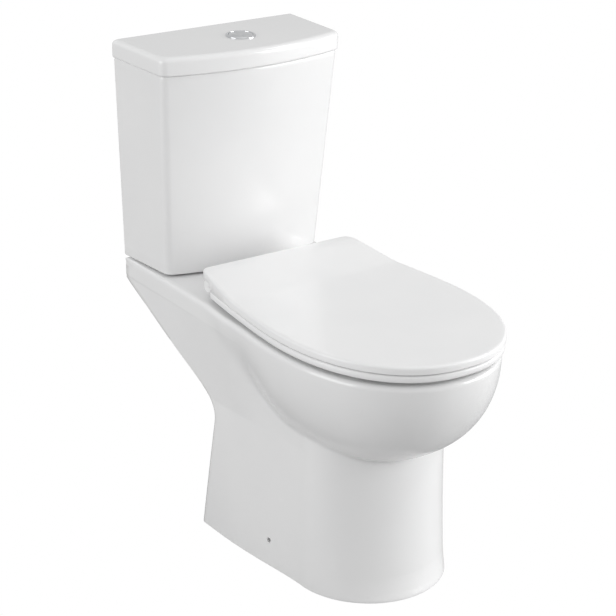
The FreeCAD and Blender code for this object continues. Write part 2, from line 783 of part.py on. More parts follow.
CAGE_TOP = CISTERN_TOP - 147
CAGE_RADIUS = as_size(38)
SEAT_TOP = CISTERN_FLOOR + 12
STEM_RADIUS = as_size(12)
STEM_TOP = CISTERN_TOP - 62
PLUNGER_TOP = CAGE_TOP + 32
PLUNGER_RADIUS = as_size(4)
PLUNGER_X = [D.button_offset - D.rod_spread, D.button_offset + D.rod_spread]
VALVE_LIFT = as_size(21)


def make_flush_valve():
    """Flange, threaded tail, raised seat and a windowed cage, in one moulding."""
    floor = CISTERN_FLOOR + 2.5
    wall = as_size(3)
    outer = CAGE_RADIUS
    tail_end = SEAL_BASE + 6
    body = turned("FlushValve", [
        (25, tail_end), (VALVE_TAIL, tail_end), (VALVE_TAIL, floor), (44, floor),
        (44, floor + 4), (outer, floor + 4), (outer, CAGE_TOP - 5), (outer, CAGE_TOP),
        (STEM_RADIUS + D.running_gap, CAGE_TOP),
        (STEM_RADIUS + D.running_gap, CAGE_TOP - 5), (outer - wall, CAGE_TOP - 5),
        (outer - wall, floor + 4), (29, floor + 4), (29, SEAT_TOP), (25, SEAT_TOP)], 0, VALVE_Y, 0)
    window = sketch_in(body, "XZ_Plane", "CageWindow")
    half = as_size(15)
    low, high = floor + 6, floor + 75
    add_polygon(window, [(-half, low), (half, low), (half, high), (-half, high)])
    opening = pocket(body, window, outer + 5, "CageOpening", upward=False)
    ring = body.newObject("PartDesign::PolarPattern", "CageOpenings")
    ring.Originals = [opening]
    ring.Axis = ([item for item in body.Origin.OriginFeatures if item.Role == "Z_Axis"][0], [""])
    ring.Angle = 360
    ring.Occurrences = 4
    body.Tip = ring
    doc.recompute()
    guides = sketch_in(body, "XY_Plane", "PlungerGuides", CAGE_TOP - 6)
    for x in PLUNGER_X:
        add_circle(guides, x, BUTTON_Y - VALVE_Y, PLUNGER_RADIUS + D.running_gap)
    pocket(body, guides, 8, "PlungerDrilling", upward=True)
    return node(body, "flush_valve_body")


make_flush_valve()
gasket = tube("ValveGasket", 43, VALVE_TAIL + 0.5, 2.5, 0, VALVE_Y, CISTERN_FLOOR)
node(gasket, "flush_valve_gasket")


def make_back_nut():
    """Flange nut under the cistern with gripping ribs round it."""
    height = as_size(12)
    body = tube("BackNut", VALVE_TAIL + 9, VALVE_TAIL + 0.05, height)
    rib = sketch_in(body, "XY_Plane", "BackNutRib")
    start, end = VALVE_TAIL + 8, VALVE_TAIL + 11
    add_polygon(rib, [(start, -2), (end, -2), (end, 2), (start, 2)])
    first = pad(body, rib, height, "BackNutGrip")
    doc.recompute()
    ring = body.newObject("PartDesign::PolarPattern", "BackNutGrips")
    ring.Originals = [first]
    ring.Axis = ([item for item in body.Origin.OriginFeatures if item.Role == "Z_Axis"][0], [""])
    ring.Angle = 360
    ring.Occurrences = 12
    body.Tip = ring
    place(body, 0, VALVE_Y, CISTERN_BASE - height)
    doc.recompute()
    return node(body, "flush_valve_nut")


make_back_nut()

stem = turned("Stem", [(STEM_RADIUS - 2, SEAT_TOP + 0.3), (22, SEAT_TOP + 0.3),
                       (22, SEAT_TOP + 3.3), (31, SEAT_TOP + 3.3), (31, SEAT_TOP + 6.3),
                       (STEM_RADIUS, SEAT_TOP + 6.3), (STEM_RADIUS, STEM_TOP),
                       (STEM_RADIUS - 2, STEM_TOP)], 0, VALVE_Y, 0)
node(stem, "overflow_tube")
washer = tube("ValveWasher", 33, 22.05, 3, 0, VALVE_Y, SEAT_TOP + 0.3)
node(washer, "flush_valve_seal")

for x, name in zip(PLUNGER_X, ("half_flush_plunger", "full_flush_plunger")):
    plunger = turned(name, [(0, CAGE_TOP - 30), (PLUNGER_RADIUS, CAGE_TOP - 30),
                            (PLUNGER_RADIUS, PLUNGER_TOP - 4), (6.5, PLUNGER_TOP - 4),
                            (6.5, PLUNGER_TOP), (0, PLUNGER_TOP)], x, BUTTON_Y, 0)
    node(plunger, name)


# ---------------------------------------------------------------- buttons in the lid

LID_UNDER = D.total_height - D.lid_wall
BUTTON_TOP = D.total_height + D.button_rise
COLLAR_BASE = LID_UNDER - 18
RING_SEAT = D.total_height
BEZEL_RADIUS = D.button_radius + D.bezel_border
bezel = turned("ButtonRing", [
    (D.button_radius + D.running_gap, COLLAR_BASE), (BUTTON_COLLAR, COLLAR_BASE),
    (BUTTON_COLLAR, RING_SEAT), (BEZEL_RADIUS, RING_SEAT), (BEZEL_RADIUS, RING_SEAT + 1.5),
    (BEZEL_RADIUS - 2, RING_SEAT + 3), (D.button_radius + D.running_gap, RING_SEAT + 3)],
    D.button_offset, BUTTON_Y, 0)
node(bezel, "button_ring")
lock = tube("ButtonLock", BEZEL_RADIUS + 3, BUTTON_COLLAR + 0.05, 5,
            D.button_offset, BUTTON_Y, LID_UNDER - 5)
node(lock, "button_lock_nut")
SHELF_RING_Z = COLLAR_BASE - 2
carrier = turned("ButtonCarrier", [(0, SHELF_RING_Z), (BUTTON_COLLAR, SHELF_RING_Z),
                                   (BUTTON_COLLAR, COLLAR_BASE), (0, COLLAR_BASE)],
                 D.button_offset, BUTTON_Y, 0)
guide = sketch_in(carrier, "XY_Plane", "RodGuides", SHELF_RING_Z - 1)
for side in (-1, 1):
    add_circle(guide, side * D.rod_spread, 0, D.rod_radius + D.running_gap)
pocket(carrier, guide, 4, "RodDrilling", upward=True)
node(carrier, "button_carrier")

SPLIT = as_size(0.4)
BUTTON_THICK = as_size(9)
SPRING_BASE = COLLAR_BASE
SPRING_TOP = BUTTON_TOP - BUTTON_THICK


def half_disc(name, side, split_x):
    """One button: the part of a disc on one side of the dividing line, with its rod."""
    disc = rod(name + "Disc", D.button_radius, BUTTON_THICK, D.button_offset, BUTTON_Y, SPRING_TOP)
    reach = D.button_radius * 2 + 2
    left = D.button_offset + split_x + (SPLIT if side > 0 else -SPLIT - reach)
    keeper = block(name + "Half", reach, reach, BUTTON_THICK + 2, left,
                   BUTTON_Y - reach / 2, SPRING_TOP - 1)
    common = doc.addObject("Part::MultiCommon", name + "Common")
    common.Shapes = [disc, keeper]
    return common


def push_rod(name, side):
    length = SPRING_TOP - PLUNGER_TOP - 1
    return rod(name, D.rod_radius, length, D.button_offset + side * D.rod_spread, BUTTON_Y,
               PLUNGER_TOP + 1)


for side, name in ((-1, "half_flush"), (1, "full_flush")):
    node(half_disc(name + "Button", side, as_size(-3)), name + "_button")
    node(push_rod(name + "Rod", side), name + "_rod")


def make_springs():
    """Two coil springs round the rods, between the carrier and the buttons."""
    height = float(SPRING_TOP - SPRING_BASE) - 0.4
    radius, wire_radius = float(D.rod_radius) + 2.0, 0.5
    turns = 5
    coils = []
    for side in (-1, 1):
        centre = FreeCAD.Vector(float(D.button_offset) + side * VALUES["rod_spread"],
                                float(BUTTON_Y), float(SPRING_BASE) + 0.2 + wire_radius)
        rise = height - 2 * wire_radius
        helix = Part.makeHelix(rise / turns, rise, radius)
        start = FreeCAD.Vector(radius, 0, 0)
        profile = Part.Wire([Part.makeCircle(wire_radius, start, FreeCAD.Vector(0, 1, 0))])
        coil = Part.Wire(helix.Edges).makePipeShell([profile], True, True)
        coil.translate(centre)
        coils.append(coil)
    return coils


for coil, name in zip(make_springs(), ("half_flush_spring", "full_flush_spring")):
    spring = doc.addObject("Part::Feature", name)
    spring.Shape = coil
    node(spring, name)


# ---------------------------------------------------------------- fill valve

FILL_FLOOR = CISTERN_FLOOR + 2.5
FILL_HEAD = CISTERN_TOP - 105
TAIL_END = SHELF_UNDER - 28
RISER = as_size(9)
SHANK_RADIUS = D.fill_tail_radius + 0.3
SHANK_BASE = CISTERN_BASE - 11
fill_body = turned("FillValve", [
    (6, TAIL_END), (D.fill_tail_radius, TAIL_END), (D.fill_tail_radius, SHANK_BASE),
    (SHANK_RADIUS, SHANK_BASE), (SHANK_RADIUS, FILL_FLOOR), (16, FILL_FLOOR), (16, FILL_FLOOR + 4), (RISER, FILL_FLOOR + 4), (RISER, FILL_HEAD),
    (15, FILL_HEAD), (15, FILL_HEAD + 20), (6, FILL_HEAD + 20)], D.fill_side, FILL_Y, 0)
node(fill_body, "fill_valve_body")
node(tube("FillGasket", 16, SHANK_RADIUS, 2.5, D.fill_side, FILL_Y, CISTERN_FLOOR),
     "fill_valve_gasket")
node(tube("FillNut", 17, SHANK_RADIUS + 0.05, 9, D.fill_side, FILL_Y, CISTERN_BASE - 9),
     "fill_valve_nut")

ARM_LENGTH = as_size(36)
PIVOT_Z = FILL_HEAD + 36
FLOAT_TOP = FILL_HEAD - 8
FLOAT_TRAVEL = as_size(16)
LINK_X = D.fill_side - ARM_LENGTH
cap = rod("FillCap", 14, 4, D.fill_side, FILL_Y, FILL_HEAD + 20)
ears = []
for side, name in ((-1, "FrontEar"), (1, "BackEar")):
    ear = block(name, 10, 3, 19, D.fill_side - 5, FILL_Y + side * 6 - 1.5, FILL_HEAD + 23)
    hole = rod(name + "Hole", 1.7, 5, D.fill_side, FILL_Y + side * 6 + 2.5, PIVOT_Z)
    turn = FreeCAD.Rotation(FreeCAD.Vector(1, 0, 0), 90)
    hole.Placement = FreeCAD.Placement(hole.Placement.Base, turn)
    place(hole, D.fill_side, FILL_Y + side * 6 + 2.5, PIVOT_Z)
    ears.append(cut(name + "Cut", ear, hole))
node(join("FillHead", cap, *ears), "fill_valve_cap")

pivot = rod("ArmPin", 1.6, 16, D.fill_side, FILL_Y + 8, PIVOT_Z)
pivot.Placement = FreeCAD.Placement(pivot.Placement.Base,
                                    FreeCAD.Rotation(FreeCAD.Vector(1, 0, 0), 90))
place(pivot, D.fill_side, FILL_Y + 8, PIVOT_Z)
node(pivot, "float_arm_pin")


def make_arm():
    """Lever from the pivot pin to the float's link, with an open fork at its end."""
    body = body_named("FloatArm")
    plan = sketch_in(body, "XY_Plane", "ArmPlan")
    half, fork = as_size(4), as_size(2.2)
    tip, slot, root = -ARM_LENGTH - 5, -ARM_LENGTH + 8, as_size(5)
    add_polygon(plan, [(root, -half), (root, half), (tip, half), (tip, fork), (slot, fork),
                       (slot, -fork), (tip, -fork), (tip, -half)])
    pad(body, plan, 6, "ArmBar")
    doc.recompute()
    side = sketch_in(body, "XZ_Plane", "ArmBore", 10)
    add_circle(side, 0, 3, 1.66)
    pocket(body, side, 20, "ArmDrilling")
    place(body, D.fill_side, FILL_Y, PIVOT_Z - 3)
    doc.recompute()
    return node(body, "float_arm")


make_arm()
cup = turned("FloatCup", [(11, FLOAT_TOP - 60), (12.5, FLOAT_TOP - 60), (12.5, FLOAT_TOP - 2),
                          (24, FLOAT_TOP - 2), (24, FLOAT_TOP - 60), (26, FLOAT_TOP - 60),
                          (26, FLOAT_TOP), (11, FLOAT_TOP)], D.fill_side, FILL_Y, 0)
lug = block("FloatLug", 16, 8, 6, LINK_X - 4, FILL_Y - 4, FLOAT_TOP - 6)
node(join("FloatWhole", cup, lug), "float_cup")
link_rod = rod("LinkRod", 1.5, PIVOT_Z + 7 - FLOAT_TOP, LINK_X, FILL_Y, FLOAT_TOP)
link_head = rod("LinkHead", 4.5, 4, LINK_X, FILL_Y, PIVOT_Z + 5)
node(join("FloatLink", link_rod, link_head), "float_link")


# ---------------------------------------------------------------- seat ring and cover


def seat_slab(half, front, back, low, high, edge):
    """A D-shaped slab whose top and bottom edges are rounded."""
    widest = VALUES["rim_widest"]
    lower = []
    for turn in (0, 30, 60, 90):
        drop = edge * (1 - math.sin(math.radians(turn)))
        lower.append((drop, low + edge * (1 - math.cos(math.radians(turn)))))
    levels = lower + [(drop, low + high - z) for drop, z in reversed(lower)]
    outlines = [seat_wire(half - drop, front - drop, widest, back + drop, z)
                for drop, z in levels]
    return Part.makeLoft(outlines, True, True)


def knuckle(x, length, bore, arm_front, arm_low, arm_high):
    """A hinge barrel on the hinge axis with an arm reaching forward to its plate."""
    axis = VALUES["hinge_back"]
    start = wall_point(x, axis, float(HINGE_Z))
    barrel = Part.makeCylinder(VALUES["knuckle_radius"], length, start, FreeCAD.Vector(1, 0, 0))
    arm = Part.makeBox(length, arm_front - axis, arm_high - arm_low,
                       wall_point(x, arm_front, arm_low))
    hole = Part.makeCylinder(bore, length + 2, start - FreeCAD.Vector(1, 0, 0),
                             FreeCAD.Vector(1, 0, 0))
    return barrel.fuse(arm).cut(hole)


def both_sides(shape):
    return [shape, shape.mirror(FreeCAD.Vector(0, 0, 0), FreeCAD.Vector(1, 0, 0))]


POST_HALF = 11.0
RING_KNUCKLE_X = float(POST_X) + POST_HALF + 1.5
RING_KNUCKLE_LENGTH = 22.0
COVER_KNUCKLE_X = RING_KNUCKLE_X + RING_KNUCKLE_LENGTH + 1.0
COVER_KNUCKLE_LENGTH = 26.0
PIN_END_X = COVER_KNUCKLE_X + COVER_KNUCKLE_LENGTH - 1.0
BORE = VALUES["pin_radius"] + VALUES["pin_clearance"]
DAMPER_RADIUS = 7.5


def make_ring():
    low, high = float(RING_BASE), float(RING_TOP)
    half, front = VALUES["ring_half_width"], VALUES["total_depth"] - 1
    ring = seat_slab(half, front, VALUES["ring_back"], low, high, 3.0)
    hole = Part.Face(egg_wire(VALUES["ring_hole_half"], front - VALUES["ring_border"],
                              VALUES["ring_hole_back"], low - 1))
    ring = ring.cut(hole.extrude(FreeCAD.Vector(0, 0, high - low + 2)))
    for part in both_sides(knuckle(RING_KNUCKLE_X, RING_KNUCKLE_LENGTH, BORE,
                                   VALUES["ring_back"] + 12, low + 1, high - 1)):
        ring = ring.fuse(part)
    item = doc.addObject("Part::Feature", "SeatRing")
    item.Shape = ring
    return node(item, "seat_ring")


def cover_profile():
    """Side view of the cover: flat from the front, then up over the hinges."""
    low, high = float(COVER_BASE), float(COVER_TOP)
    rise, back = VALUES["cover_rise"], VALUES["cover_back"]
    front = VALUES["total_depth"] + 20
    clear_top = float(HINGE_Z) + VALUES["knuckle_radius"] + 2.0
    step = VALUES["hinge_back"] + VALUES["knuckle_radius"] + 8.0
    corners = [(front, high), (VALUES["cover_ramp"], high), (back + 22, high + rise),
               (back - 5, high + rise), (back - 5, clear_top), (step, clear_top),
               (step + 14, low), (front, low)]
    points = [FreeCAD.Vector(-250, float(WALL) - d, z) for d, z in corners]
    return Part.Face(Part.makePolygon(points + points[:1])).extrude(FreeCAD.Vector(500, 0, 0))


def make_cover():
    low, high = float(COVER_BASE), float(COVER_TOP) + VALUES["cover_rise"]
    half, front = VALUES["cover_half_width"], VALUES["total_depth"]
    plan = seat_wire(half, front, VALUES["rim_widest"], VALUES["cover_back"], low - 5)
    slab = Part.Face(plan).extrude(FreeCAD.Vector(0, 0, high - low + 20))
    cover = slab.common(cover_profile())
    top_edges = [edge for edge in cover.Edges if edge.BoundBox.ZMax > float(COVER_TOP) - 0.01
                 and edge.BoundBox.ZMin > float(COVER_TOP) - 0.01
                 and edge.BoundBox.XLength < 2.2 * half and not is_crossing(edge)]
    cover = cover.makeFillet(4.0, top_edges)
    arm_low = float(HINGE_Z) + 2.0
    arm_high = float(COVER_TOP) - 1.0
    for part in both_sides(knuckle(COVER_KNUCKLE_X, COVER_KNUCKLE_LENGTH, DAMPER_RADIUS + 0.05,
                                   VALUES["cover_back"] + 60, arm_low, arm_high)):
        cover = cover.fuse(part)
    start = wall_point(COVER_KNUCKLE_X - 1, VALUES["hinge_back"], float(HINGE_Z))
    for hole in both_sides(Part.makeCylinder(DAMPER_RADIUS + 0.05, COVER_KNUCKLE_LENGTH + 2, start,
                                             FreeCAD.Vector(1, 0, 0))):
        cover = cover.cut(hole)
    item = doc.addObject("Part::Feature", "SeatCover")
    item.Shape = cover
    return node(item, "seat_cover")


def is_crossing(edge):
    """True for the straight lines across the cover where its ramp starts and ends."""
    straight = abs(edge.Length - edge.BoundBox.XLength) < 0.01
    inner = edge.BoundBox.YMax < float(WALL) - VALUES["cover_back"] - 1
    return straight and inner


make_ring()
make_cover()

damper = doc.addObject("Part::Feature", "Dampers")
sleeve_start = wall_point(COVER_KNUCKLE_X, VALUES["hinge_back"], float(HINGE_Z))
sleeve = Part.makeCylinder(DAMPER_RADIUS, COVER_KNUCKLE_LENGTH, sleeve_start,
                           FreeCAD.Vector(1, 0, 0))
sleeve = sleeve.cut(Part.makeCylinder(BORE, PIN_END_X - COVER_KNUCKLE_X + 0.5, sleeve_start,
                                      FreeCAD.Vector(1, 0, 0)))
damper.Shape = Part.makeCompound(both_sides(sleeve))
node(damper, "hinge_dampers")

pin = cross_rod("HingePin", D.pin_radius, as_size(PIN_END_X) - (POST_X - POST_HALF),
                POST_X - POST_HALF, HINGE_Y, HINGE_Z)
node(pair("HingePins", pin), "hinge_pins")

POST_BASE = D.pan_height + 1


def make_post():
    """Upright hinge block on a round foot, bored across for the pin and up for its stud."""
    foot = rod("PostFoot", 14, 2.5, POST_X, HINGE_Y, POST_BASE)
    column = block("PostColumn", 2 * POST_HALF, D.knuckle_radius * 2, HINGE_Z - POST_BASE,
                   POST_X - POST_HALF, HINGE_Y - D.knuckle_radius, POST_BASE)
    crown = cross_rod("PostCrown", D.knuckle_radius, as_size(2 * POST_HALF), POST_X - POST_HALF,
                      HINGE_Y, HINGE_Z)
    solid = join("PostSolid", foot, column, crown)
    bore = cross_rod("PostBore", D.pin_radius + 0.02, as_size(2 * POST_HALF + 4),
                     POST_X - POST_HALF - 2, HINGE_Y, HINGE_Z)
    socket = rod("PostSocket", 4.05, 9, POST_X, HINGE_Y, POST_BASE - 1)
    return cut("HingePost", solid, bore, socket)


node(pair("HingePosts", make_post()), "hinge_posts")
node(pair("PostPads", tube("PostPad", 14, SEAT_HOLE_RADIUS, 1, POST_X, HINGE_Y, D.pan_height)), "hinge_gaskets")
stud = rod("HingeStud", 4, POST_BASE + 7 - (SHELF_UNDER - 40), POST_X, HINGE_Y, SHELF_UNDER - 40)
node(pair("HingeStuds", stud), "hinge_studs")
bush = turned("HingeBush", [(4.1, SHELF_UNDER - 6), (13, SHELF_UNDER - 6), (13, SHELF_UNDER),
                            (6.8, SHELF_UNDER), (6.8, SHELF_UNDER + 9), (4.1, SHELF_UNDER + 9)],
              POST_X, HINGE_Y, 0)
node(pair("HingeBushes", bush), "hinge_bushes")
seat_nut = wing_nut("SeatNut", as_size(4), 8, as_size(10), as_size(15), POST_X, HINGE_Y,
                    SHELF_UNDER - 6 - 12.5)
node(pair("SeatNuts", seat_nut), "hinge_nuts")

BUMPER_GAP = 0.3


def bumpers(label, radius, base, height, spots):
    """Soft feet at mirrored spots, each given as (half spacing, distance from the wall)."""
    links = []
    for count, (x, distance) in enumerate(spots):
        foot = rod("%s%d" % (label, count), radius, height, x, WALL - distance, base)
        links += [foot, mirrored(foot)]
    return node(group(label + "_all", *links), label)


bumpers("ring_bumpers", 8, D.pan_height + BUMPER_GAP, D.seat_lift - BUMPER_GAP,
        [(130, 345), (118, 590)])
bumpers("cover_bumpers", 6, RING_TOP + BUMPER_GAP, D.cover_gap - BUMPER_GAP,
        [(140, 400), (128, 560)])


def check_and_export():
    """Stops at any failed object, then writes each sub-part to its own file."""
    doc.recompute()
    for item in doc.Objects:
        if "Invalid" in item.State or "Error" in item.State:
            raise RuntimeError("%s is %s" % (item.Label, item.State))
    for item in NODES:
        shape = item.Shape
        if shape.isNull() or not shape.isValid() or not shape.Solids:
            raise RuntimeError("%s has no valid solid" % item.Label)
    os.makedirs("parts", exist_ok=True)
    for item in NODES:
        item.Shape.exportStep("parts/%s.step" % item.Label)
        print("%-22s %2d solid(s) %12.0f mm3" % (item.Label, len(item.Shape.Solids),
                                                 item.Shape.Volume))


check_and_export()
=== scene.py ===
# %% [markdown]
# # A close coupled toilet
# The suite is a china pan, a china cistern bolted on its shelf, a thin plastic seat and cover, and
# a chrome flush button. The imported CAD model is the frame: it fixes every size, place and moving
# body. Each visible surface is then made again as a smooth skin that rides on its own body.

# %% The frame
import json
import math

import bmesh
import bpy
import numpy as np
from mathutils import Matrix, Vector

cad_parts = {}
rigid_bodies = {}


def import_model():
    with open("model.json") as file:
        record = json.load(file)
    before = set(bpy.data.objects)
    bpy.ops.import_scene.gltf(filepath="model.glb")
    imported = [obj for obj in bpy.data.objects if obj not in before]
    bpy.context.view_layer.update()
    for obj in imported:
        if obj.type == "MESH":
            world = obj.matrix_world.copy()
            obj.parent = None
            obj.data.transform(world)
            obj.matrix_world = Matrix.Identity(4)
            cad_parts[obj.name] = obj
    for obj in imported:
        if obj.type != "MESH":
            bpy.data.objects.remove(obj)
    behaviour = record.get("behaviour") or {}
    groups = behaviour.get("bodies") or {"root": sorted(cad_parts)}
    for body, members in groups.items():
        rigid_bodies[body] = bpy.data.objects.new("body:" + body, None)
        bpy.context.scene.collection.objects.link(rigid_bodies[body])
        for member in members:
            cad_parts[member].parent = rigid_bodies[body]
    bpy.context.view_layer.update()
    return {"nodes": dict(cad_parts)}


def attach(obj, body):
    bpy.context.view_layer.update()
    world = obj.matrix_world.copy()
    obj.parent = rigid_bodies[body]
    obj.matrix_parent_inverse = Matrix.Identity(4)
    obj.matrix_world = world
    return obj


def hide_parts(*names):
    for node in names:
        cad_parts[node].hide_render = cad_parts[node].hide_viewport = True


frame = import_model()
MM = 0.001
WALL = 352.0  # y of the wall behind the toilet, in mm
MERGE = 2e-6  # points closer than this, in m, become one
SHARP = 50.0  # edges that turn by more degrees than this stay sharp in the shading

# %% [markdown]
# ## The camera
# The view is a product view from the front left and a little above, through a long lens, so
# upright edges stay almost parallel. It could be aimed with a Track To constraint, but a matrix
# built from azimuth, elevation and roll states the view exactly and needs no other object.

# %% Camera
AZIMUTH, ELEVATION, ROLL = map(math.radians, (-36.0, 22.197, 1.332))
TARGET, DISTANCE, LENS = Vector((0.0, 0.0425, 0.384)), 3.1381, 114.46


def aim_camera():
    """Axes from three angles: back points at the camera, right and up are turned by the roll."""
    back = Vector((math.sin(AZIMUTH) * math.cos(ELEVATION),
                   -math.cos(AZIMUTH) * math.cos(ELEVATION), math.sin(ELEVATION)))
    level = (-back).cross(Vector((0, 0, 1))).normalized()
    up = level.cross(-back)
    right = math.cos(ROLL) * level + math.sin(ROLL) * up
    top = -math.sin(ROLL) * level + math.cos(ROLL) * up
    turn = Matrix((right, top, back)).transposed().to_4x4()
    return Matrix.Translation(TARGET + back * DISTANCE) @ turn


lens = bpy.data.cameras.new("product_camera")
lens.lens, lens.sensor_width, lens.clip_end = LENS, 36.0, 50.0
camera = bpy.data.objects.new("product_camera", lens)
camera.matrix_world = aim_camera()
bpy.context.scene.collection.objects.link(camera)
bpy.context.scene.camera = camera
print("camera at", [round(v, 3) for v in camera.matrix_world.translation])

# %% [markdown]
# ## From a grid of points to a mesh
# Every new surface here is a grid: one parameter runs round the piece and the other runs along
# its section. Lofting curves in the editor would give similar skins, but a grid written as numpy
# arrays keeps each formula in view. Rows that shrink to a point are merged, so poles are closed.

# %% Grid to mesh


def at(x, distance, z):
    """Points in metres from millimetres: across, distance from the wall, height."""
    x, distance, z = np.broadcast_arrays(x, distance, z)
    return np.stack([x, WALL - distance, z], -1) * MM


def skin(name, grid, wrap_rows=False, keep=None):
    """Quads between neighbouring grid points, with the columns closed in a ring; keep is a mask
    of the quads that are wanted."""
    rows, columns = grid.shape[:2]
    index = np.arange(rows * columns).reshape(rows, columns)
    index = np.hstack([index, index[:, :1]])
    if wrap_rows:
        index = np.vstack([index, index[:1]])
    quads = np.stack([index[:-1, :-1], index[:-1, 1:], index[1:, 1:], index[1:, :-1]], -1)
    quads = quads.reshape(-1, 4) if keep is None else quads[keep]
    mesh = bpy.data.meshes.new(name)
    mesh.from_pydata(grid.reshape(-1, 3).tolist(), [], quads.tolist())
    return finish_mesh(name, mesh)


def finish_mesh(name, mesh):
    """Merges doubled points, drops loose ones, smooths shading and links the object."""
    work = bmesh.new()
    work.from_mesh(mesh)
    bmesh.ops.remove_doubles(work, verts=work.verts, dist=MERGE)
    loose = [v for v in work.verts if not v.link_faces]
    bmesh.ops.delete(work, geom=loose, context="VERTS")
    if all(edge.is_manifold for edge in work.edges):
        bmesh.ops.recalc_face_normals(work, faces=work.faces)
    work.to_mesh(mesh)
    work.free()
    mesh.polygons.foreach_set("use_smooth", np.ones(len(mesh.polygons), bool))
    mesh.set_sharp_from_angle(angle=math.radians(SHARP))
    piece = bpy.data.objects.new(name, mesh)
    bpy.context.scene.collection.objects.link(piece)
    print(name, len(mesh.vertices), "points", len(mesh.polygons), "faces")
    return piece


def ramp(low, high, value):
    """Smooth step: 0 below low, 1 above high, 3t^2 - 2t^3 between."""
    t = np.clip((value - low) / (high - low), 0, 1)
    return t * t * (3 - 2 * t)


def soft_min(a, b, blend):
    """The smaller of two values, rounded where they cross over a width of blend."""
    gap = np.maximum(blend - np.abs(a - b), 0)
    return np.minimum(a, b) - gap * gap / (4 * blend)


def soft_max(a, b, blend):
    return -soft_min(-a, -b, blend)


def settle(piece, body, *nodes, slot=None):
    """The piece rides on its body and stands for its CAD nodes."""
    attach(piece, body)
    if nodes:
        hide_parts(*nodes)


# %% [markdown]
# ## Plan outlines
# Seen from above, the mouth, the ring's hole and the bowl are eggs: superellipses with one reach
# to the front and another to the back. A superellipse is a little squarer than an ellipse, which
# is how moulded sanitary ware looks. The seat is a D whose sides taper gently to the hinges.

# %% Egg outlines
POWER = 2.25


def egg(angle, half, front, back, middle):
    """Superellipse in polar form about its widest place: (|sin/a|^n + |cos/b|^n)^(-1/n), where b
    is the front reach for half the turn and the back reach for the other half."""
    across, along = np.sin(angle), np.cos(angle)
    reach = np.where(along > 0, front - middle, middle - back)
    radius = (np.abs(across / half) ** POWER + np.abs(along / reach) ** POWER) ** (-1 / POWER)
    return radius * across, middle + radius * along


def round_corner(before, corner, after, radius, count=9):
    """Quadratic curve that leaves one line and joins the next at a radius from their corner."""
    before, corner, after = map(np.asarray, (before, corner, after))
    start = corner + (before - corner) / np.linalg.norm(before - corner) * radius
    end = corner + (after - corner) / np.linalg.norm(after - corner) * radius
    t = np.linspace(0, 1, count)[:, None]
    return (1 - t) ** 2 * start + 2 * t * (1 - t) * corner + t * t * end


# %% [markdown]
# ## Pan: outside shape
# A china pan is slip cast, so its outside flows: an upright pedestal, an egg shaped bowl that
# grows out of it, and a flat shelf at the back. Sculpting could do it, but here each part is an
# outline that changes with height, and the three are joined by a rounded maximum of their radii,
# which leaves the same soft crease under the bowl that the wet clay gets from a sponge.

# %% Pan outlines
SHELF_TOP, RIM_TOP, BAND_BASE = 405.0, 404.0, 375.0
CENTRE = 430.0  # the foot's rays start here
WIDEST = 465.0  # the bowl and the seat are widest here
NOSE_START = 484.0  # the foot's flat sides end here
NOSE_HALF = 127.0
BOWL_TOP, BOWL_DROP, BOWL_POWER = 401.0, 190.0, 2.2
BOWL_HALF, BOWL_FRONT = 172.0, 233.0
FOOT_UPRIGHT = 2.0  # the outside is upright below this height


def heel_line(z):
    """Distance of the pan's back edge from the wall: a slant under the shelf runs into an almost
    upright heel, with a rounded turn between the two lines."""
    slant = 709.0 - 1.93 * z
    heel = 214.0 + 0.17 * z
    return np.maximum(soft_min(slant, heel, 80.0), 0.0)


def bowl_scale(z):
    """How large the bowl's outline is at a height, as a share of the rim: a quarter of a
    superellipse from BOWL_TOP down to BOWL_DROP below it."""
    drop = np.clip((BOWL_TOP - z) / BOWL_DROP, 0, 0.9999)
    return (1 - drop ** BOWL_POWER) ** (1 / BOWL_POWER)


def eased(z, heights, values, spread=9.0):
    """Straight line interpolation averaged over a short span, which rounds its corners."""
    shifts = np.linspace(-spread, spread, 13)
    return np.mean([np.interp(z + shift, heights, values) for shift in shifts], axis=0)


def bowl_back(z):
    """Reach of the bowl behind its widest place; it draws in quickly below the shelf."""
    return eased(z, [200, 262, 289, 323, 341, 365, 388, 420],
                 [70, 115, 139, 176, 200, 250, 314, 335])


def side_line(distance, z):
    """Half width of the flat sides behind the nose, between the floor, the neck and the shelf."""
    behind = np.clip(NOSE_START - distance, 0, None)
    behind = np.sqrt(behind ** 2 + 40 ** 2) - 40
    low = NOSE_HALF + 15 * np.sin(np.clip(behind / 175, 0, 1) * math.pi / 2)
    high = NOSE_HALF + 32 * np.clip(behind / 444, 0, 1) ** 0.85
    share = np.clip(z / BAND_BASE, 0, 1)
    wall = (1 - share) * low + share * high
    shelf = (157 + 3 * np.clip(distance / 330, 0, 1)) - 26 * ramp(300, 420, distance)
    rise = np.clip((BAND_BASE - z) / 140, 0, 1)
    tuck = 0.7 * (1 - ramp(60, 260, distance)) * (1 - ramp(BAND_BASE - 3, BAND_BASE, z))
    return (1 - rise) * shelf + rise * wall - tuck


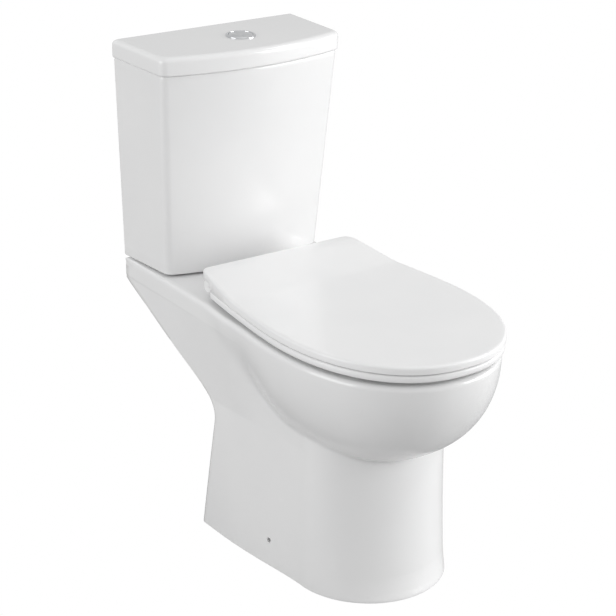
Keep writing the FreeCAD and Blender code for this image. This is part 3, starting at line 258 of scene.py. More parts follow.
def outer_radius(angle, z):
    """Radius of the pan's outside about CENTRE: the rounded maximum of foot and bowl."""
    across, along = np.sin(angle), np.cos(angle)
    # the foot: an ellipse in front, and behind it the side line, met where the ray crosses it
    nose = eased(z, [-20, 0, 15, 33, 78, 122, 175, 210, 260],
                 [134, 125, 119.5, 114.5, 108, 102.5, 98, 96, 95], 5.0)
    offset = NOSE_START - CENTRE
    p = (across / NOSE_HALF) ** 2 + (along / nose) ** 2
    q = -along * offset / nose ** 2
    front = (-q + np.sqrt(np.maximum(q * q - p * ((offset / nose) ** 2 - 1), 0))) / p
    radius = front
    for _ in range(12):
        distance = CENTRE + radius * along
        sideways = side_line(distance, z) / np.maximum(np.abs(across), 1e-3)
        radius = np.where(distance < NOSE_START, 0.5 * radius + 0.5 * sideways, radius)
    foot = np.where(CENTRE + radius * along < NOSE_START, radius, front)
    # the bowl: an egg about its own centre, turned into a radius about CENTRE by interpolation
    turn = np.linspace(-math.pi, math.pi, 721)
    scale = bowl_scale(z)
    x, d = egg(turn, BOWL_HALF * scale, WIDEST + BOWL_FRONT * scale, WIDEST - bowl_back(z),
               WIDEST)
    bearing = np.unwrap(np.arctan2(x, d - CENTRE))
    bowl = np.interp(angle, bearing, np.hypot(x, d - CENTRE))
    return soft_max(foot, bowl, 7.0 + 26.0 * ramp(250, 345, z))


print("heel at floor, waist and shelf:", [float(round(heel_line(z), 1)) for z in (0, 205, 376)])

# %% [markdown]
# ## Pan: one skin from the floor to the water
# The pan is one wall of china folded into shape, so it is made as one grid. Its rows climb the
# outside, roll over the rim, cross to the mouth, tuck under and run down the bowl to the trap.
# Solidify then gives the wall its thickness, as the slip does, and its cut edges show behind.

# %% Pan rows
half_spread = np.concatenate([np.linspace(0, 0.96, 74), np.linspace(0.965, 1, 8),
                              np.linspace(0.674, 0.720, 13)])
half_spread = np.unique(np.round(half_spread, 5))
spread = np.concatenate([-half_spread[:0:-1], half_spread])
SIDE_COLUMNS, BACK_COLUMNS = len(spread), 16
rear = np.linspace(0, 1, BACK_COLUMNS + 2)[1:-1]


def outside_row(z, inset=0.0):
    """One level of the outside: round the front between the heel corners, then along the wall."""
    dense = np.linspace(0, math.pi * 0.97, 900)
    radius = outer_radius(dense, z)
    d = CENTRE + radius * np.cos(dense)
    edge = float(heel_line(z))
    last = int(np.argmax(d < edge + 1e-6)) or len(dense) - 1
    corner = np.interp(-edge, -d[: last + 1], dense[: last + 1])
    angle = spread * corner
    r = np.interp(np.abs(angle), dense, radius) - inset
    x, d = r * np.sin(angle), CENTRE + r * np.cos(angle)
    d = np.maximum(d, edge)
    turn = 12.0 - 9.0 * ramp(200, 380, z)
    near = np.clip(1 - (d - edge) / turn, 0, 1)
    x -= np.sign(x) * turn * (1 - np.sqrt(1 - near * near))
    back_x = x[-1] + (x[0] - x[-1]) * rear
    return np.concatenate([x, back_x]), np.concatenate([d, np.full(BACK_COLUMNS, d[-1])])


def mouth_row(grow, half=128.0, front=660.0, back=345.0, middle=502.0):
    """A closed egg whose columns line up with those of the outside."""
    angle = np.concatenate([spread * math.radians(150),
                            math.radians(150) + rear * math.radians(60)])
    return egg(angle, half + grow, front + grow, back - grow, middle)


levels = np.concatenate([
    [0.2, 2], np.arange(5, 12, 3.0), np.arange(12, 36, 6.0), np.arange(36, 56, 1.6),
    np.arange(58, 204, 6.0), np.arange(204, 300, 2.6), np.arange(300, 370, 4.0),
    [371.0, 373.0, 374.5, 376.0, 382.0, 388.0, 393.0]])
rows = [at(*outside_row(max(z, FOOT_UPRIGHT)), z) for z in levels]
print("levels up the outside:", len(levels))

# %% Pan rim, mouth and bowl
ROLL_RADIUS = 8.0
for turn in np.radians([0, 18, 36, 54, 72, 90]):
    x, d = outside_row(SHELF_TOP - ROLL_RADIUS, ROLL_RADIUS * (1 - math.cos(turn)))
    top = RIM_TOP + ramp(-300, -240, -d)
    rows.append(at(x, d, top - ROLL_RADIUS * (1 - math.sin(turn))))
x_edge, d_edge = outside_row(SHELF_TOP - ROLL_RADIUS, ROLL_RADIUS)
x_mouth, d_mouth = mouth_row(6.0)
for share in (0.12, 0.3, 0.5, 0.7, 0.88, 1.0):
    x, d = x_edge + (x_mouth - x_edge) * share, d_edge + (d_mouth - d_edge) * share
    rows.append(at(x, d, RIM_TOP + ramp(-300, -240, -d)))
for turn in np.radians([22, 45, 68, 90]):
    x, d = mouth_row(6 * (1 - math.sin(turn)))
    rows.append(at(x, d, RIM_TOP - 6 * (1 - math.cos(turn))))
for z in (392.0, 384.0, 377.0):
    rows.append(at(*mouth_row(0.0), z))
for turn in np.radians([30, 60, 90]):
    rows.append(at(*mouth_row(4 * (1 - math.cos(turn))), 374 - 4 * math.sin(turn)))


SUMP_MIDDLE = 510.0


def bowl_row(z):
    """Inside of the bowl: the outside's egg a wall's thickness lower and smaller, then the sump."""
    scale = bowl_scale(z - 12)
    upper = np.array([BOWL_HALF * scale - 14, WIDEST + BOWL_FRONT * scale - 15,
                      345 + 120 * (1 - scale), WIDEST])
    closing = ramp(-95, -58, -z)
    lower = np.array([45 - 12 * closing, 556 - 14 * closing, 462 + 14 * closing, SUMP_MIDDLE])
    share = ramp(-262, -165, -z)
    return mouth_row(0.0, *((1 - share) * upper + share * lower))


for z in np.concatenate([[370.0, 366.0], np.arange(360, 160, -5.0), np.arange(160, 62, -6.5)]):
    rows.append(at(*bowl_row(z), z))
x_sump, d_sump = bowl_row(60.0)
for share, z in ((0.97, 59.0), (0.85, 57.6), (0.6, 57.0), (0.3, 57.0), (0.0, 57.0)):
    rows.append(at(x_sump * share, SUMP_MIDDLE + (d_sump - SUMP_MIDDLE) * share, z))
pan_grid = np.stack(rows)
print("pan grid:", pan_grid.shape)

# %% [markdown]
# ## Openings in a grid
# Round openings, such as the trap's mouth in the sump and the screw holes low in the sides, could
# be cut with Boolean modifiers. It is lighter to leave out the quads inside the circle and draw
# the ring of points round it onto the circle, which keeps the rest of the grid untouched.

# %% Opening tool


def open_hole(grid, keep, centre, axis, radius, reach):
    """Drops quads whose corners are all within radius of a line, and moves the other points near
    the line out to exactly that radius."""
    axis = np.asarray(axis, float)
    offset = grid - np.asarray(centre)
    along = offset @ axis
    across = offset - along[..., None] * axis
    gap = np.linalg.norm(across, axis=-1)
    near = (gap < radius) & (np.abs(along) < reach)
    wrapped = np.hstack([near, near[:, :1]])
    corners = np.stack([wrapped[:-1, :-1], wrapped[:-1, 1:], wrapped[1:, 1:], wrapped[1:, :-1]])
    keep &= ~corners.all(0)
    used = np.zeros(near.shape, bool)
    for kept in (keep, np.roll(keep, 1, axis=1)):
        used[:-1] |= kept
        used[1:] |= kept
    pull = near & used
    scale = (radius / np.maximum(gap, 1e-9))[pull][:, None]
    grid[pull] += across[pull] * (scale - 1)


keep = np.ones((len(rows) - 1, SIDE_COLUMNS + BACK_COLUMNS), bool)
low_rows = levels[1:] < 391.5  # the back is open below the shelf's edge
keep[: len(low_rows), SIDE_COLUMNS - 1:][low_rows] = False
for side in (-1, 1):
    open_hole(pan_grid, keep, at(side * 131.0, 402.0, 45.0), (1, 0, 0), 4.6 * MM, 30 * MM)
open_hole(pan_grid, keep, at(0.0, 462.0, 97.0), (0, 1, 0), 40 * MM, 30 * MM)
open_hole(pan_grid, keep, at(0.0, 345.0, 338.0), (0, 1, 0), 26 * MM, 24 * MM)

# %% Pan piece
pan = skin("pan_china", pan_grid, keep=keep)
wall = pan.modifiers.new("china_wall", "SOLIDIFY")
wall.thickness, wall.offset = 11.5 * MM, -1.0  # inwards from the skin
edges = pan.modifiers.new("soft_edges", "BEVEL")
edges.width, edges.segments, edges.limit_method = 2.2 * MM, 2, "ANGLE"
edges.angle_limit = math.radians(55)
settle(pan, "pan_and_cistern", "pan_rim", "pan_bowl", "pan_pedestal")

# %% [markdown]
# ## Trap, spigot and flushing inlet
# Behind the bowl a tube climbs over the trap's crest and ends in the spigot, and another brings
# the flushing water forward. They are a ring of points carried along a path, with the path's
# corners rounded first. The ring goes out along the outside and back along the bore.

# %% Tubes


def rounded_path(points, bend, count=9):
    """Straight runs of (distance, height) joined by arcs, as one array of points."""
    points = np.asarray(points, float)
    parts = [points[:1]]
    for before, corner, after in zip(points, points[1:], points[2:]):
        one = (before - corner) / np.linalg.norm(before - corner)
        two = (after - corner) / np.linalg.norm(after - corner)
        half = math.acos(float(np.clip(one @ two, -1, 1))) / 2
        middle = (one + two) / np.linalg.norm(one + two)
        centre = corner + middle * bend / math.sin(half)
        start, end = corner + one * bend / math.tan(half), corner + two * bend / math.tan(half)
        share = np.linspace(0, 1, count)[:, None]
        spoke = (start - centre) * (1 - share) + (end - centre) * share
        parts.append(centre + spoke / np.linalg.norm(spoke, axis=1, keepdims=True) * bend)
    parts.append(points[-1:])
    return np.concatenate(parts)


def tube_rows(path, radius, columns):
    """Circles of one radius standing square to a path in the plane x = 0."""
    ahead = np.gradient(path, axis=0)
    ahead /= np.linalg.norm(ahead, axis=1, keepdims=True)
    normal = np.stack([-ahead[:, 1], ahead[:, 0]], -1)
    turn = np.linspace(0, 2 * math.pi, columns, endpoint=False)
    x = radius * np.cos(turn)[None, :] * np.ones((len(path), 1))
    d = path[:, :1] + radius * np.sin(turn) * normal[:, :1]
    z = path[:, 1:] + radius * np.sin(turn) * normal[:, 1:]
    return at(x, d, z)


def china_tube(name, points, bend, outer, bore, columns=72):
    """A thick tube: outside rows, a rounded end, bore rows back to the start, closed in a ring."""
    path = rounded_path(points, bend)
    lip = (path[-1] - path[-2]) / np.linalg.norm(path[-1] - path[-2])
    middle, half = (outer + bore) / 2, (outer - bore) / 2

    def end_ring(short, radius):
        """The last circle when the path stops a little short of its end."""
        shorter = path.copy()
        shorter[-1] -= lip * short
        return tube_rows(shorter, radius, columns)[-1]

    outside, inside = tube_rows(path, outer, columns), tube_rows(path, bore, columns)
    outside[-1], inside[-1] = end_ring(half, outer), end_ring(half, bore)
    ends = [end_ring(half * (1 - math.sin(turn)), middle + half * math.cos(turn))
            for turn in np.radians([22, 45, 68, 90, 112, 135, 158])]
    grid = np.concatenate([outside, np.stack(ends), inside[::-1]])
    return skin(name, grid, wrap_rows=True)


trap = china_tube("trap_and_spigot", [(466, 97), (430, 97), (355, 224), (290, 224), (225, 185),
                                      (85, 185)], 52, 51, 40)
inlet = china_tube("flushing_inlet", [(350, 338), (70, 338), (70, 383)], 43, 35, 26, 56)
settle(trap, "pan_and_cistern", "pan_trap")
settle(inlet, "pan_and_cistern", "pan_inlet")

# %% [markdown]
# ## Cistern
# The cistern is a deep china box: a straight back, sides that spread upwards and a front that
# bows out. Its front corners are soft because slip can't turn a tight one, and its back corners
# are tighter. One outline function gives every level, and the rows go up the outside, over the
# lip and down the inside.

# %% Bowed outline
HALF_ARC = 200  # steps from the middle of the bowed front to its corner
BACK_CORNER = 3.0


def bowed(back_half, front_half, depth, bow, inset=0.0, corner=11.0):
    """Closed outline: straight back and sides, a shallow arc across the front, soft corners."""
    bh, fh, dp = back_half - inset, front_half - inset, depth - inset
    front_x = np.linspace(-1, 1, 2 * HALF_ARC + 1)
    arc = np.stack([front_x * fh, dp + bow * (1 - front_x ** 2)], -1)
    step = int(round(corner / fh * HALF_ARC))
    left_back, right_back = np.array([-bh, inset]), np.array([bh, inset])
    t = np.linspace(0, 1, 13)[:, None]
    right_end = arc[-1] + (right_back - arc[-1]) / np.linalg.norm(right_back - arc[-1]) * corner
    left_end = arc[0] + (left_back - arc[0]) / np.linalg.norm(left_back - arc[0]) * corner
    front_right = (1 - t) ** 2 * arc[-1 - step] + 2 * t * (1 - t) * arc[-1] + t * t * right_end
    front_left = (1 - t) ** 2 * left_end + 2 * t * (1 - t) * arc[0] + t * t * arc[step]
    side = np.linspace(0, 1, 8)[1:-1, None]
    back_right = round_corner(arc[-1], right_back, left_back, BACK_CORNER, 7)
    back_left = round_corner(right_back, left_back, arc[0], BACK_CORNER, 7)
    right_side = right_end + (back_right[0] - right_end) * side
    left_side = back_left[-1] + (left_end - back_left[-1]) * side
    rear_share = np.linspace(0, 1, 14)[1:-1, None]
    rear_line = back_right[-1] + (back_left[0] - back_right[-1]) * rear_share
    front = arc[np.linspace(step, 2 * HALF_ARC - step, 60).astype(int)][1:-1]
    loop = np.concatenate([front, front_right, right_side, back_right, rear_line, back_left,
                           left_side, front_left])
    return loop[:, 0], loop[:, 1]


# each size is half the width at the back, half the width at the front, and the sides' depth
BASE_SIZE, TOP_SIZE = np.array([157.0, 149.0, 123.0]), np.array([172.0, 168.5, 143.0])
BOW = 26.0
CISTERN_BASE, CISTERN_TOP, CISTERN_WALL = 408.5, 749.5, 9.0
BASE_ROUND, LIP_ROUND, INNER_CORNER = 3.0, 3.0, 9.0


def cistern_row(z, inset=0.0, corner=11.0):
    """Outline at a height, between the base's sizes and the top's."""
    share = (z - CISTERN_BASE) / (CISTERN_TOP - CISTERN_BASE)
    size = BASE_SIZE + (TOP_SIZE - BASE_SIZE) * share
    return at(*bowed(*size, BOW, inset, corner), z)


def shrink(row, share, z):
    """A level row drawn in towards its own middle."""
    middle = row.mean(0)
    out = middle + (row - middle) * share
    out[:, 2] = z * MM
    return out


# %% Cistern piece
first = cistern_row(CISTERN_BASE, BASE_ROUND)
rows = [shrink(first, s, CISTERN_BASE) for s in (0.0, 0.35, 0.7, 0.93)] + [first]
for turn in np.radians([20, 42, 65, 90]):
    rows.append(cistern_row(CISTERN_BASE + BASE_ROUND * (1 - math.cos(turn)),
                            BASE_ROUND * (1 - math.sin(turn))))
rows += [cistern_row(z) for z in np.linspace(CISTERN_BASE + 20, CISTERN_TOP - 10, 20)]
for turn in np.radians([0, 30, 60, 90]):
    rows.append(cistern_row(CISTERN_TOP - LIP_ROUND * (1 - math.sin(turn)),
                            LIP_ROUND * (1 - math.cos(turn))))
FLOOR_TOP = CISTERN_BASE + CISTERN_WALL
inner = [(CISTERN_TOP, CISTERN_WALL - 2), (CISTERN_TOP - 1.2, CISTERN_WALL)]
inner += [(z, CISTERN_WALL) for z in np.linspace(CISTERN_TOP - 12, CISTERN_BASE + 22, 14)]
inner += [(FLOOR_TOP + 3, CISTERN_WALL + 2.5), (FLOOR_TOP, CISTERN_WALL + 8)]
rows += [cistern_row(z, inset, INNER_CORNER) for z, inset in inner]
floor_row = rows[-1]
rows += [shrink(floor_row, s, FLOOR_TOP) for s in (0.93, 0.7, 0.35, 0.0)]
cistern = skin("cistern_china", np.stack(rows))
settle(cistern, "pan_and_cistern", "cistern")

# %% [markdown]
# ## Cistern lid
# The lid is a shallow china cap with a soft top edge and a round hole for the flush button. It is
# one closed loop of rows: from the hole out across the top, over the edge, down the apron, and
# back underneath to the hole, so the hole is real and shows when the lid is lifted.

# %% Lid piece
LID_SIZE, LID_BASE, LID_TOP = TOP_SIZE + 3.0, 750.0, 780.0
BUTTON_X, BUTTON_D, BUTTON_HOLE = 14.0, 88.0, 22.5
LID_EDGE, LID_CORNER = 8.5, 12.0


def lid_row(z, inset=0.0, corner=LID_CORNER):
    return at(*bowed(*LID_SIZE, BOW, inset, corner), z)


def hole_row(radius, z):
    """Circle round the button whose columns look towards the lid's own outline."""
    x, d = bowed(*LID_SIZE, BOW, 0.0, LID_CORNER)
    bearing = np.arctan2(x - BUTTON_X, d - BUTTON_D)
    return at(BUTTON_X + radius * np.sin(bearing), BUTTON_D + radius * np.cos(bearing), z)


rim_row = lid_row(LID_TOP, LID_EDGE)
hole = hole_row(BUTTON_HOLE, LID_TOP)
rows = [hole_row(BUTTON_HOLE, LID_TOP - 3), hole]
rows += [hole + (rim_row - hole) * s for s in (0.05, 0.25, 0.5, 0.75, 0.93)]
for turn in np.radians([0, 13, 26, 39, 52, 65, 78, 90]):
    rows.append(lid_row(LID_TOP - LID_EDGE * (1 - math.cos(turn)),
                        LID_EDGE * (1 - math.sin(turn))))
rows += [lid_row(z) for z in (766.0, 760.0, 754.0, 752.2)]
for turn in np.radians([30, 60, 90]):
    rows.append(lid_row(LID_BASE + 2 - 2 * math.sin(turn), 2 * (1 - math.cos(turn))))
rows += [lid_row(LID_BASE, 8.5, 12), lid_row(LID_BASE + 1.5, 10, 11), lid_row(764.0, 10, 11),
         lid_row(769.0, 12, 10)]
under, hole = lid_row(770.0, 16, 9), hole_row(BUTTON_HOLE, 770.0)
rows += [under] + [under + (hole - under) * s for s in (0.3, 0.65, 0.95, 1.0)]
lid = skin("cistern_lid_china", np.stack(rows), wrap_rows=True)
settle(lid, "lid", "cistern_lid")

# %% [markdown]
# ## Flush button
# A chrome ring holds two half round buttons, a small one for the short flush and a larger one for
# the full flush. The ring is a section turned about an upright axis, and each button is an
# outline of an arc and a chord carried up over a soft edge to a slightly crowned face.

# %% Ring and buttons


def turned(name, profile, x, distance, columns=96):
    """A closed section of (radius, height) points carried round an upright axis."""
    profile = np.asarray(profile, float)
    turn = np.linspace(0, 2 * math.pi, columns, endpoint=False)
    grid = at(x + profile[:, :1] * np.sin(turn), distance + profile[:, :1] * np.cos(turn),
              profile[:, 1:])
    return skin(name, grid, wrap_rows=True)


ring_section = [(20.4, 752), (21.5, 752), (21.5, 779.9), (24.4, 779.9), (24.9, 780.2),
                (25.0, 780.8), (24.8, 781.5), (24.2, 782.1), (23.3, 782.6), (22.3, 782.95),
                (21.3, 783.0), (20.7, 782.8), (20.4, 782.2)]
button_ring = turned("button_ring_chrome", ring_section, BUTTON_X, BUTTON_D)
settle(button_ring, "lid", "button_ring")


BUTTON_RADIUS, BUTTON_BASE, BUTTON_TOP = 20.0, 775.0, 784.0
EDGE_ROUND = CROWN = 1.6


def half_round(cut, sign, inset):
    """Arc and chord: the part of the button's disc on one side of a line, drawn in by inset."""
    radius, chord = BUTTON_RADIUS - inset, cut + sign * inset
    reach = math.acos(np.clip(sign * chord / radius, -1, 1))
    angle = np.linspace(-reach, reach, 65)
    x, d = sign * radius * np.cos(angle), radius * np.sin(angle)
    chord_d = np.linspace(d[-1], d[0], 26)[1:-1]
    return np.concatenate([x, np.full(24, chord)]), np.concatenate([d, chord_d])


def button_rows(cut, sign):
    """Rows from the flat underside up the wall, over the edge and in to the crown."""
    wall_top = BUTTON_TOP - CROWN - EDGE_ROUND
    levels = [(1.0, BUTTON_BASE), (0.0, BUTTON_BASE + 1.0), (0.0, wall_top)]
    levels += [(EDGE_ROUND * (1 - math.cos(t)), wall_top + EDGE_ROUND * math.sin(t))
               for t in np.radians([30, 60, 90])]
    rows = [half_round(cut, sign, inset) + (z,) for inset, z in levels]
    x, d, z = rows[-1]
    middle = (x.mean(), d.mean())
    for share in (0.85, 0.68, 0.5, 0.3, 0.12, 0.0):
        px, pd = middle[0] + (x - middle[0]) * share, middle[1] + (d - middle[1]) * share
        rows.append((px, pd, z + CROWN * (1 - share ** 2)))
    bx, bd, bz = rows[0]
    rows.insert(0, (middle[0] + 0 * bx, middle[1] + 0 * bd, bz))
    return np.stack([at(BUTTON_X + px, BUTTON_D + pd, pz) for px, pd, pz in rows])


half_button = skin("half_flush_button_chrome", button_rows(-3.5, -1))
full_button = skin("full_flush_button_chrome", button_rows(-2.5, 1))
settle(half_button, "half_button", "half_flush_button")
settle(full_button, "full_button", "full_flush_button")

# %% [markdown]
# ## Seat ring and cover
# Both are thin duroplast mouldings with the same D outline. The ring is a section loop carried
# round between the outer outline and the egg shaped hole. The cover is a closed skin whose top is
# flat over the bowl and rises near the hinges, where it has to clear their barrels.

# %% D outline
TAPER, TAPER_POWER = 870.0, 1.4


def seat_outline(inset=0.0, half=175.0, front=704.0, back=216.0, corner=16.0):
    """Superellipse nose, sides that taper as 1 - (gap / TAPER) ^ TAPER_POWER behind the widest
    place, rounded corners and a straight back; evenly spaced, with a mirror image for the left."""
    half, front, back = half - inset, front - inset, back + inset
    turn = np.linspace(-math.pi / 2, math.pi / 2, 101)
    nose_x, nose_d = egg(turn, half, front, 0.0, WIDEST)
    gap = np.linspace(0, 1, 31)[1:] * (WIDEST - back)
    side_x = half * (1 - (gap / TAPER) ** TAPER_POWER)
    right = np.stack([side_x, WIDEST - gap], -1)
    soft = max(corner - inset, 3.0)
    right = right[right[:, 1] > back + soft + 2]
    bend = round_corner(right[-1], (side_x[-1], back), (0.0, back), soft)
    rear_x = np.linspace(bend[-1, 0], 0, 12)[1:]
    line = np.stack([rear_x, np.full(11, back)], -1)
    half_loop = np.concatenate([np.stack([nose_x, nose_d], -1)[50:], right, bend, line])
    steps = np.concatenate([[0], np.cumsum(np.linalg.norm(np.diff(half_loop, axis=0), axis=1))])
    even = np.linspace(0, steps[-1], 110)
    x, d = np.interp(even, steps, half_loop[:, 0]), np.interp(even, steps, half_loop[:, 1])
    return np.concatenate([x, -x[-2:0:-1]]), np.concatenate([d, d[-2:0:-1]])


# %% Seat ring piece
RING_BASE, RING_TOP = 413.0, 424.0
RING_SHAPE = (174.0, 703.0, 246.0, 9.0)  # half width, front, back and corner
HOLE_MIDDLE = 489.0


def hole_outline(grow, x, d):
    """The ring's hole, with each column on the bearing of the outer outline's column."""
    bearing = np.arctan2(x, d - HOLE_MIDDLE)
    return egg(bearing, 108.0 + grow, 643.0 + grow, 335.0 - grow, HOLE_MIDDLE)


def ring_row(share, z, inset=0.0, grow=0.0):
    """A level row at a share of the way from the outer outline to the hole."""
    x, d = seat_outline(inset, *RING_SHAPE)
    hx, hd = hole_outline(grow, *seat_outline(0.0, *RING_SHAPE))
    return at(x + (hx - x) * share, d + (hd - d) * share, z)


rows = []
for t in np.radians([0, 30, 60, 90]):
    rows.append(ring_row(0, RING_BASE + 3 * (1 - math.cos(t)), 3 * (1 - math.sin(t))))
for t in np.radians([0, 22, 45, 68, 90]):
    rows.append(ring_row(0, RING_TOP - 3.5 * (1 - math.sin(t)), 3.5 * (1 - math.cos(t))))
rows += [ring_row(s, RING_TOP, 3.5, 7.0) for s in (0.15, 0.4, 0.65, 0.88)]
for t in np.radians([0, 22, 45, 68, 90]):
    rows.append(ring_row(1, RING_TOP - 7 * (1 - math.cos(t)), 0, 7 * (1 - math.sin(t))))
for t in np.radians([0, 45, 90]):
    rows.append(ring_row(1, RING_BASE + 2.5 * (1 - math.sin(t)), 0, 2.5 * (1 - math.cos(t))))
rows += [ring_row(s, RING_BASE, 3, 2.5) for s in (0.8, 0.5, 0.2)]
seat_ring = skin("seat_ring_moulding", np.stack(rows), wrap_rows=True)
settle(seat_ring, "ring", "seat_ring")

# %% Cover piece
COVER_BASE, COVER_TOP, RISE = 425.5, 438.5, 13.5
SIDE_ROUND, EDGE_INSET = 4.0, 4.5


def cover_lift(d):
    """How far the cover's top rises behind the line where its ramp starts."""
    return RISE * np.clip((335 - d) / 97, 0, 1) ** 1.15


def cover_row(z, inset=0.0, shrink_to=1.0, top=True):
    """Outline drawn in by inset, then scaled towards the middle; the ramp lifts the top rows, and
    the underside rises only at the back, over the barrels."""
    x, d = seat_outline(inset)
    x, d = x * shrink_to, 460 + (d - 460) * shrink_to
    lift = cover_lift(d) if top else 11.0 * ramp(-262, -247, -d)
    return at(x, d, z + lift)


rows = [cover_row(COVER_BASE, 2.0, s, False) for s in (0.0, 0.2, 0.4, 0.6, 0.8, 0.93, 1.0)]
rows += [cover_row(COVER_BASE + 1.5, 0.0, 1.0, False)]
rows += [cover_row(COVER_TOP - SIDE_ROUND)]
for t in np.radians([15, 30, 45, 60, 75, 90]):
    rows.append(cover_row(COVER_TOP - SIDE_ROUND * (1 - math.sin(t)),
                          EDGE_INSET * (1 - math.cos(t))))
rows += [cover_row(COVER_TOP, EDGE_INSET, s) for s in np.linspace(0.975, 0.0, 34)]
cover = skin("seat_cover_moulding", np.stack(rows))
settle(cover, "cover", "seat_cover")

# %% [markdown]
# ## Hinge barrels
# The ring and the cover each end in barrels on the common pin. A barrel is a teardrop section, a
# circle round the axis that runs forward into its plate, carried along x with rounded ends.

# %% Barrels
HINGE_D, HINGE_Z, BARREL, BARREL_SOFT = 229.0, 424.0, 10.5, 1.5


def teardrop(radius, tip, low, high, count=40):
    """Circle about the hinge, opened at the front into an arm that ends at tip."""
    start = math.asin(np.clip((high - HINGE_Z) / radius, -1, 1))
    end = math.asin(np.clip((low - HINGE_Z) / radius, -1, 1))
    angle = np.linspace(start, 2 * math.pi + end, count)
    d = HINGE_D + radius * np.cos(angle)
    z = HINGE_Z + radius * np.sin(angle)
    arm = np.linspace(0, 1, 8)[1:, None]
    lower = np.array([d[-1], z[-1]]) + (np.array([tip, low]) - [d[-1], z[-1]]) * arm
    upper = np.array([tip, high]) + (np.array([d[0], z[0]]) - [tip, high]) * arm[:-1]
    return np.concatenate([np.stack([d, z], -1), lower, [[tip, (low + high) / 2]], upper])


def barrel(name, x0, x1, tip, low, high, side):
    """Sections along x: drawn in a little at both ends for the soft edge, and closed by poles."""
    loop = teardrop(BARREL, tip, low, high)
    middle = np.array([HINGE_D, HINGE_Z])
    start = [(0.0, 0.0), (0.0, 1 - BARREL_SOFT / BARREL), (0.45, 0.96), (BARREL_SOFT, 1.0)]
    stations = [(x0 + step, share) for step, share in start]
    stations += [(x1 - step, share) for step, share in reversed(start)]
    rows = []
    for x, share in stations:
        section = middle + (loop - middle) * share
        rows.append(at(side * x, section[:, 0], section[:, 1]))
    return skin(name, np.stack(rows))


for side, label in ((-1, "left"), (1, "right")):
    piece = barrel("ring_barrel_" + label, 90, 112, 278, 414.5, 423.0, side)
    settle(piece, "ring", slot="seat_ring")
    piece = barrel("cover_barrel_" + label, 113, 140, 276, 426.0, 433.5, side)
    settle(piece, "cover", slot="seat_cover")

# %% [markdown]
# ## Finishes
# Glazed china is white body under a clear coat that is never quite even; duroplast is a slightly
# lighter white with a duller gloss; chrome is bright and slightly wavy. Two shader groups, one
# for slow drift of tone and gloss and one for fine relief, serve every finish.

# %% Shader groups
COLOUR_A, COLOUR_B, COLOUR_OUT = 6, 7, 2  # sockets of a Mix node that mixes colours


def group_with(name, inputs, outputs):
    """An empty node group with named sockets."""
    tree = bpy.data.node_groups.new(name, "ShaderNodeTree")
    for label, kind, value in inputs:
        socket = tree.interface.new_socket(label, in_out="INPUT", socket_type="NodeSocket" + kind)
        socket.default_value = value
    for label, kind in outputs:
        tree.interface.new_socket(label, in_out="OUTPUT", socket_type="NodeSocket" + kind)
    return tree, tree.nodes.new("NodeGroupInput"), tree.nodes.new("NodeGroupOutput")


def make_drift():
    """Colour and roughness that wander between two values with a slow noise."""
    tree, source, result = group_with(
        "tone_drift",
        [("Colour A", "Color", (0.8, 0.8, 0.8, 1)), ("Colour B", "Color", (0.7, 0.7, 0.7, 1)),
         ("Scale", "Float", 6.0), ("Rough Low", "Float", 0.1), ("Rough High", "Float", 0.2)],
        [("Colour", "Color"), ("Roughness", "Float")])
    place = tree.nodes.new("ShaderNodeTexCoord")
    noise = tree.nodes.new("ShaderNodeTexNoise")
    noise.inputs["Detail"].default_value = 3.0
    curve = tree.nodes.new("ShaderNodeMapRange")
    curve.inputs["From Min"].default_value, curve.inputs["From Max"].default_value = 0.35, 0.65
    mix = tree.nodes.new("ShaderNodeMix")
    mix.data_type = "RGBA"
    rough = tree.nodes.new("ShaderNodeMapRange")
    link = tree.links.new
    link(place.outputs["Object"], noise.inputs["Vector"])
    link(source.outputs["Scale"], noise.inputs["Scale"])
    link(noise.outputs["Fac"], curve.inputs["Value"])
    link(curve.outputs["Result"], mix.inputs["Factor"])
    link(source.outputs["Colour A"], mix.inputs[COLOUR_A])
    link(source.outputs["Colour B"], mix.inputs[COLOUR_B])
    link(mix.outputs[COLOUR_OUT], result.inputs["Colour"])
    link(noise.outputs["Fac"], rough.inputs["Value"])
    link(source.outputs["Rough Low"], rough.inputs["To Min"])
    link(source.outputs["Rough High"], rough.inputs["To Max"])
    link(rough.outputs["Result"], result.inputs["Roughness"])
    return tree


def make_relief():
    """A height made of a broad wave and a fine grain, for a Bump node."""
    tree, source, result = group_with(
        "fine_relief",
        [("Wave Scale", "Float", 20.0), ("Grain Scale", "Float", 900.0), ("Grain", "Float", 0.2)],
        [("Height", "Float")])
    place = tree.nodes.new("ShaderNodeTexCoord")
    wave, grain = tree.nodes.new("ShaderNodeTexNoise"), tree.nodes.new("ShaderNodeTexNoise")
    blend = tree.nodes.new("ShaderNodeMath")
    blend.operation = "MULTIPLY_ADD"
    link = tree.links.new
    for noise, label in ((wave, "Wave Scale"), (grain, "Grain Scale")):
        link(place.outputs["Object"], noise.inputs["Vector"])
        link(source.outputs[label], noise.inputs["Scale"])
    link(grain.outputs["Fac"], blend.inputs[0])
    link(source.outputs["Grain"], blend.inputs[1])
    link(wave.outputs["Fac"], blend.inputs[2])
    link(blend.outputs["Value"], result.inputs["Height"])
    return tree


drift, relief = make_drift(), make_relief()

# %% Finish maker


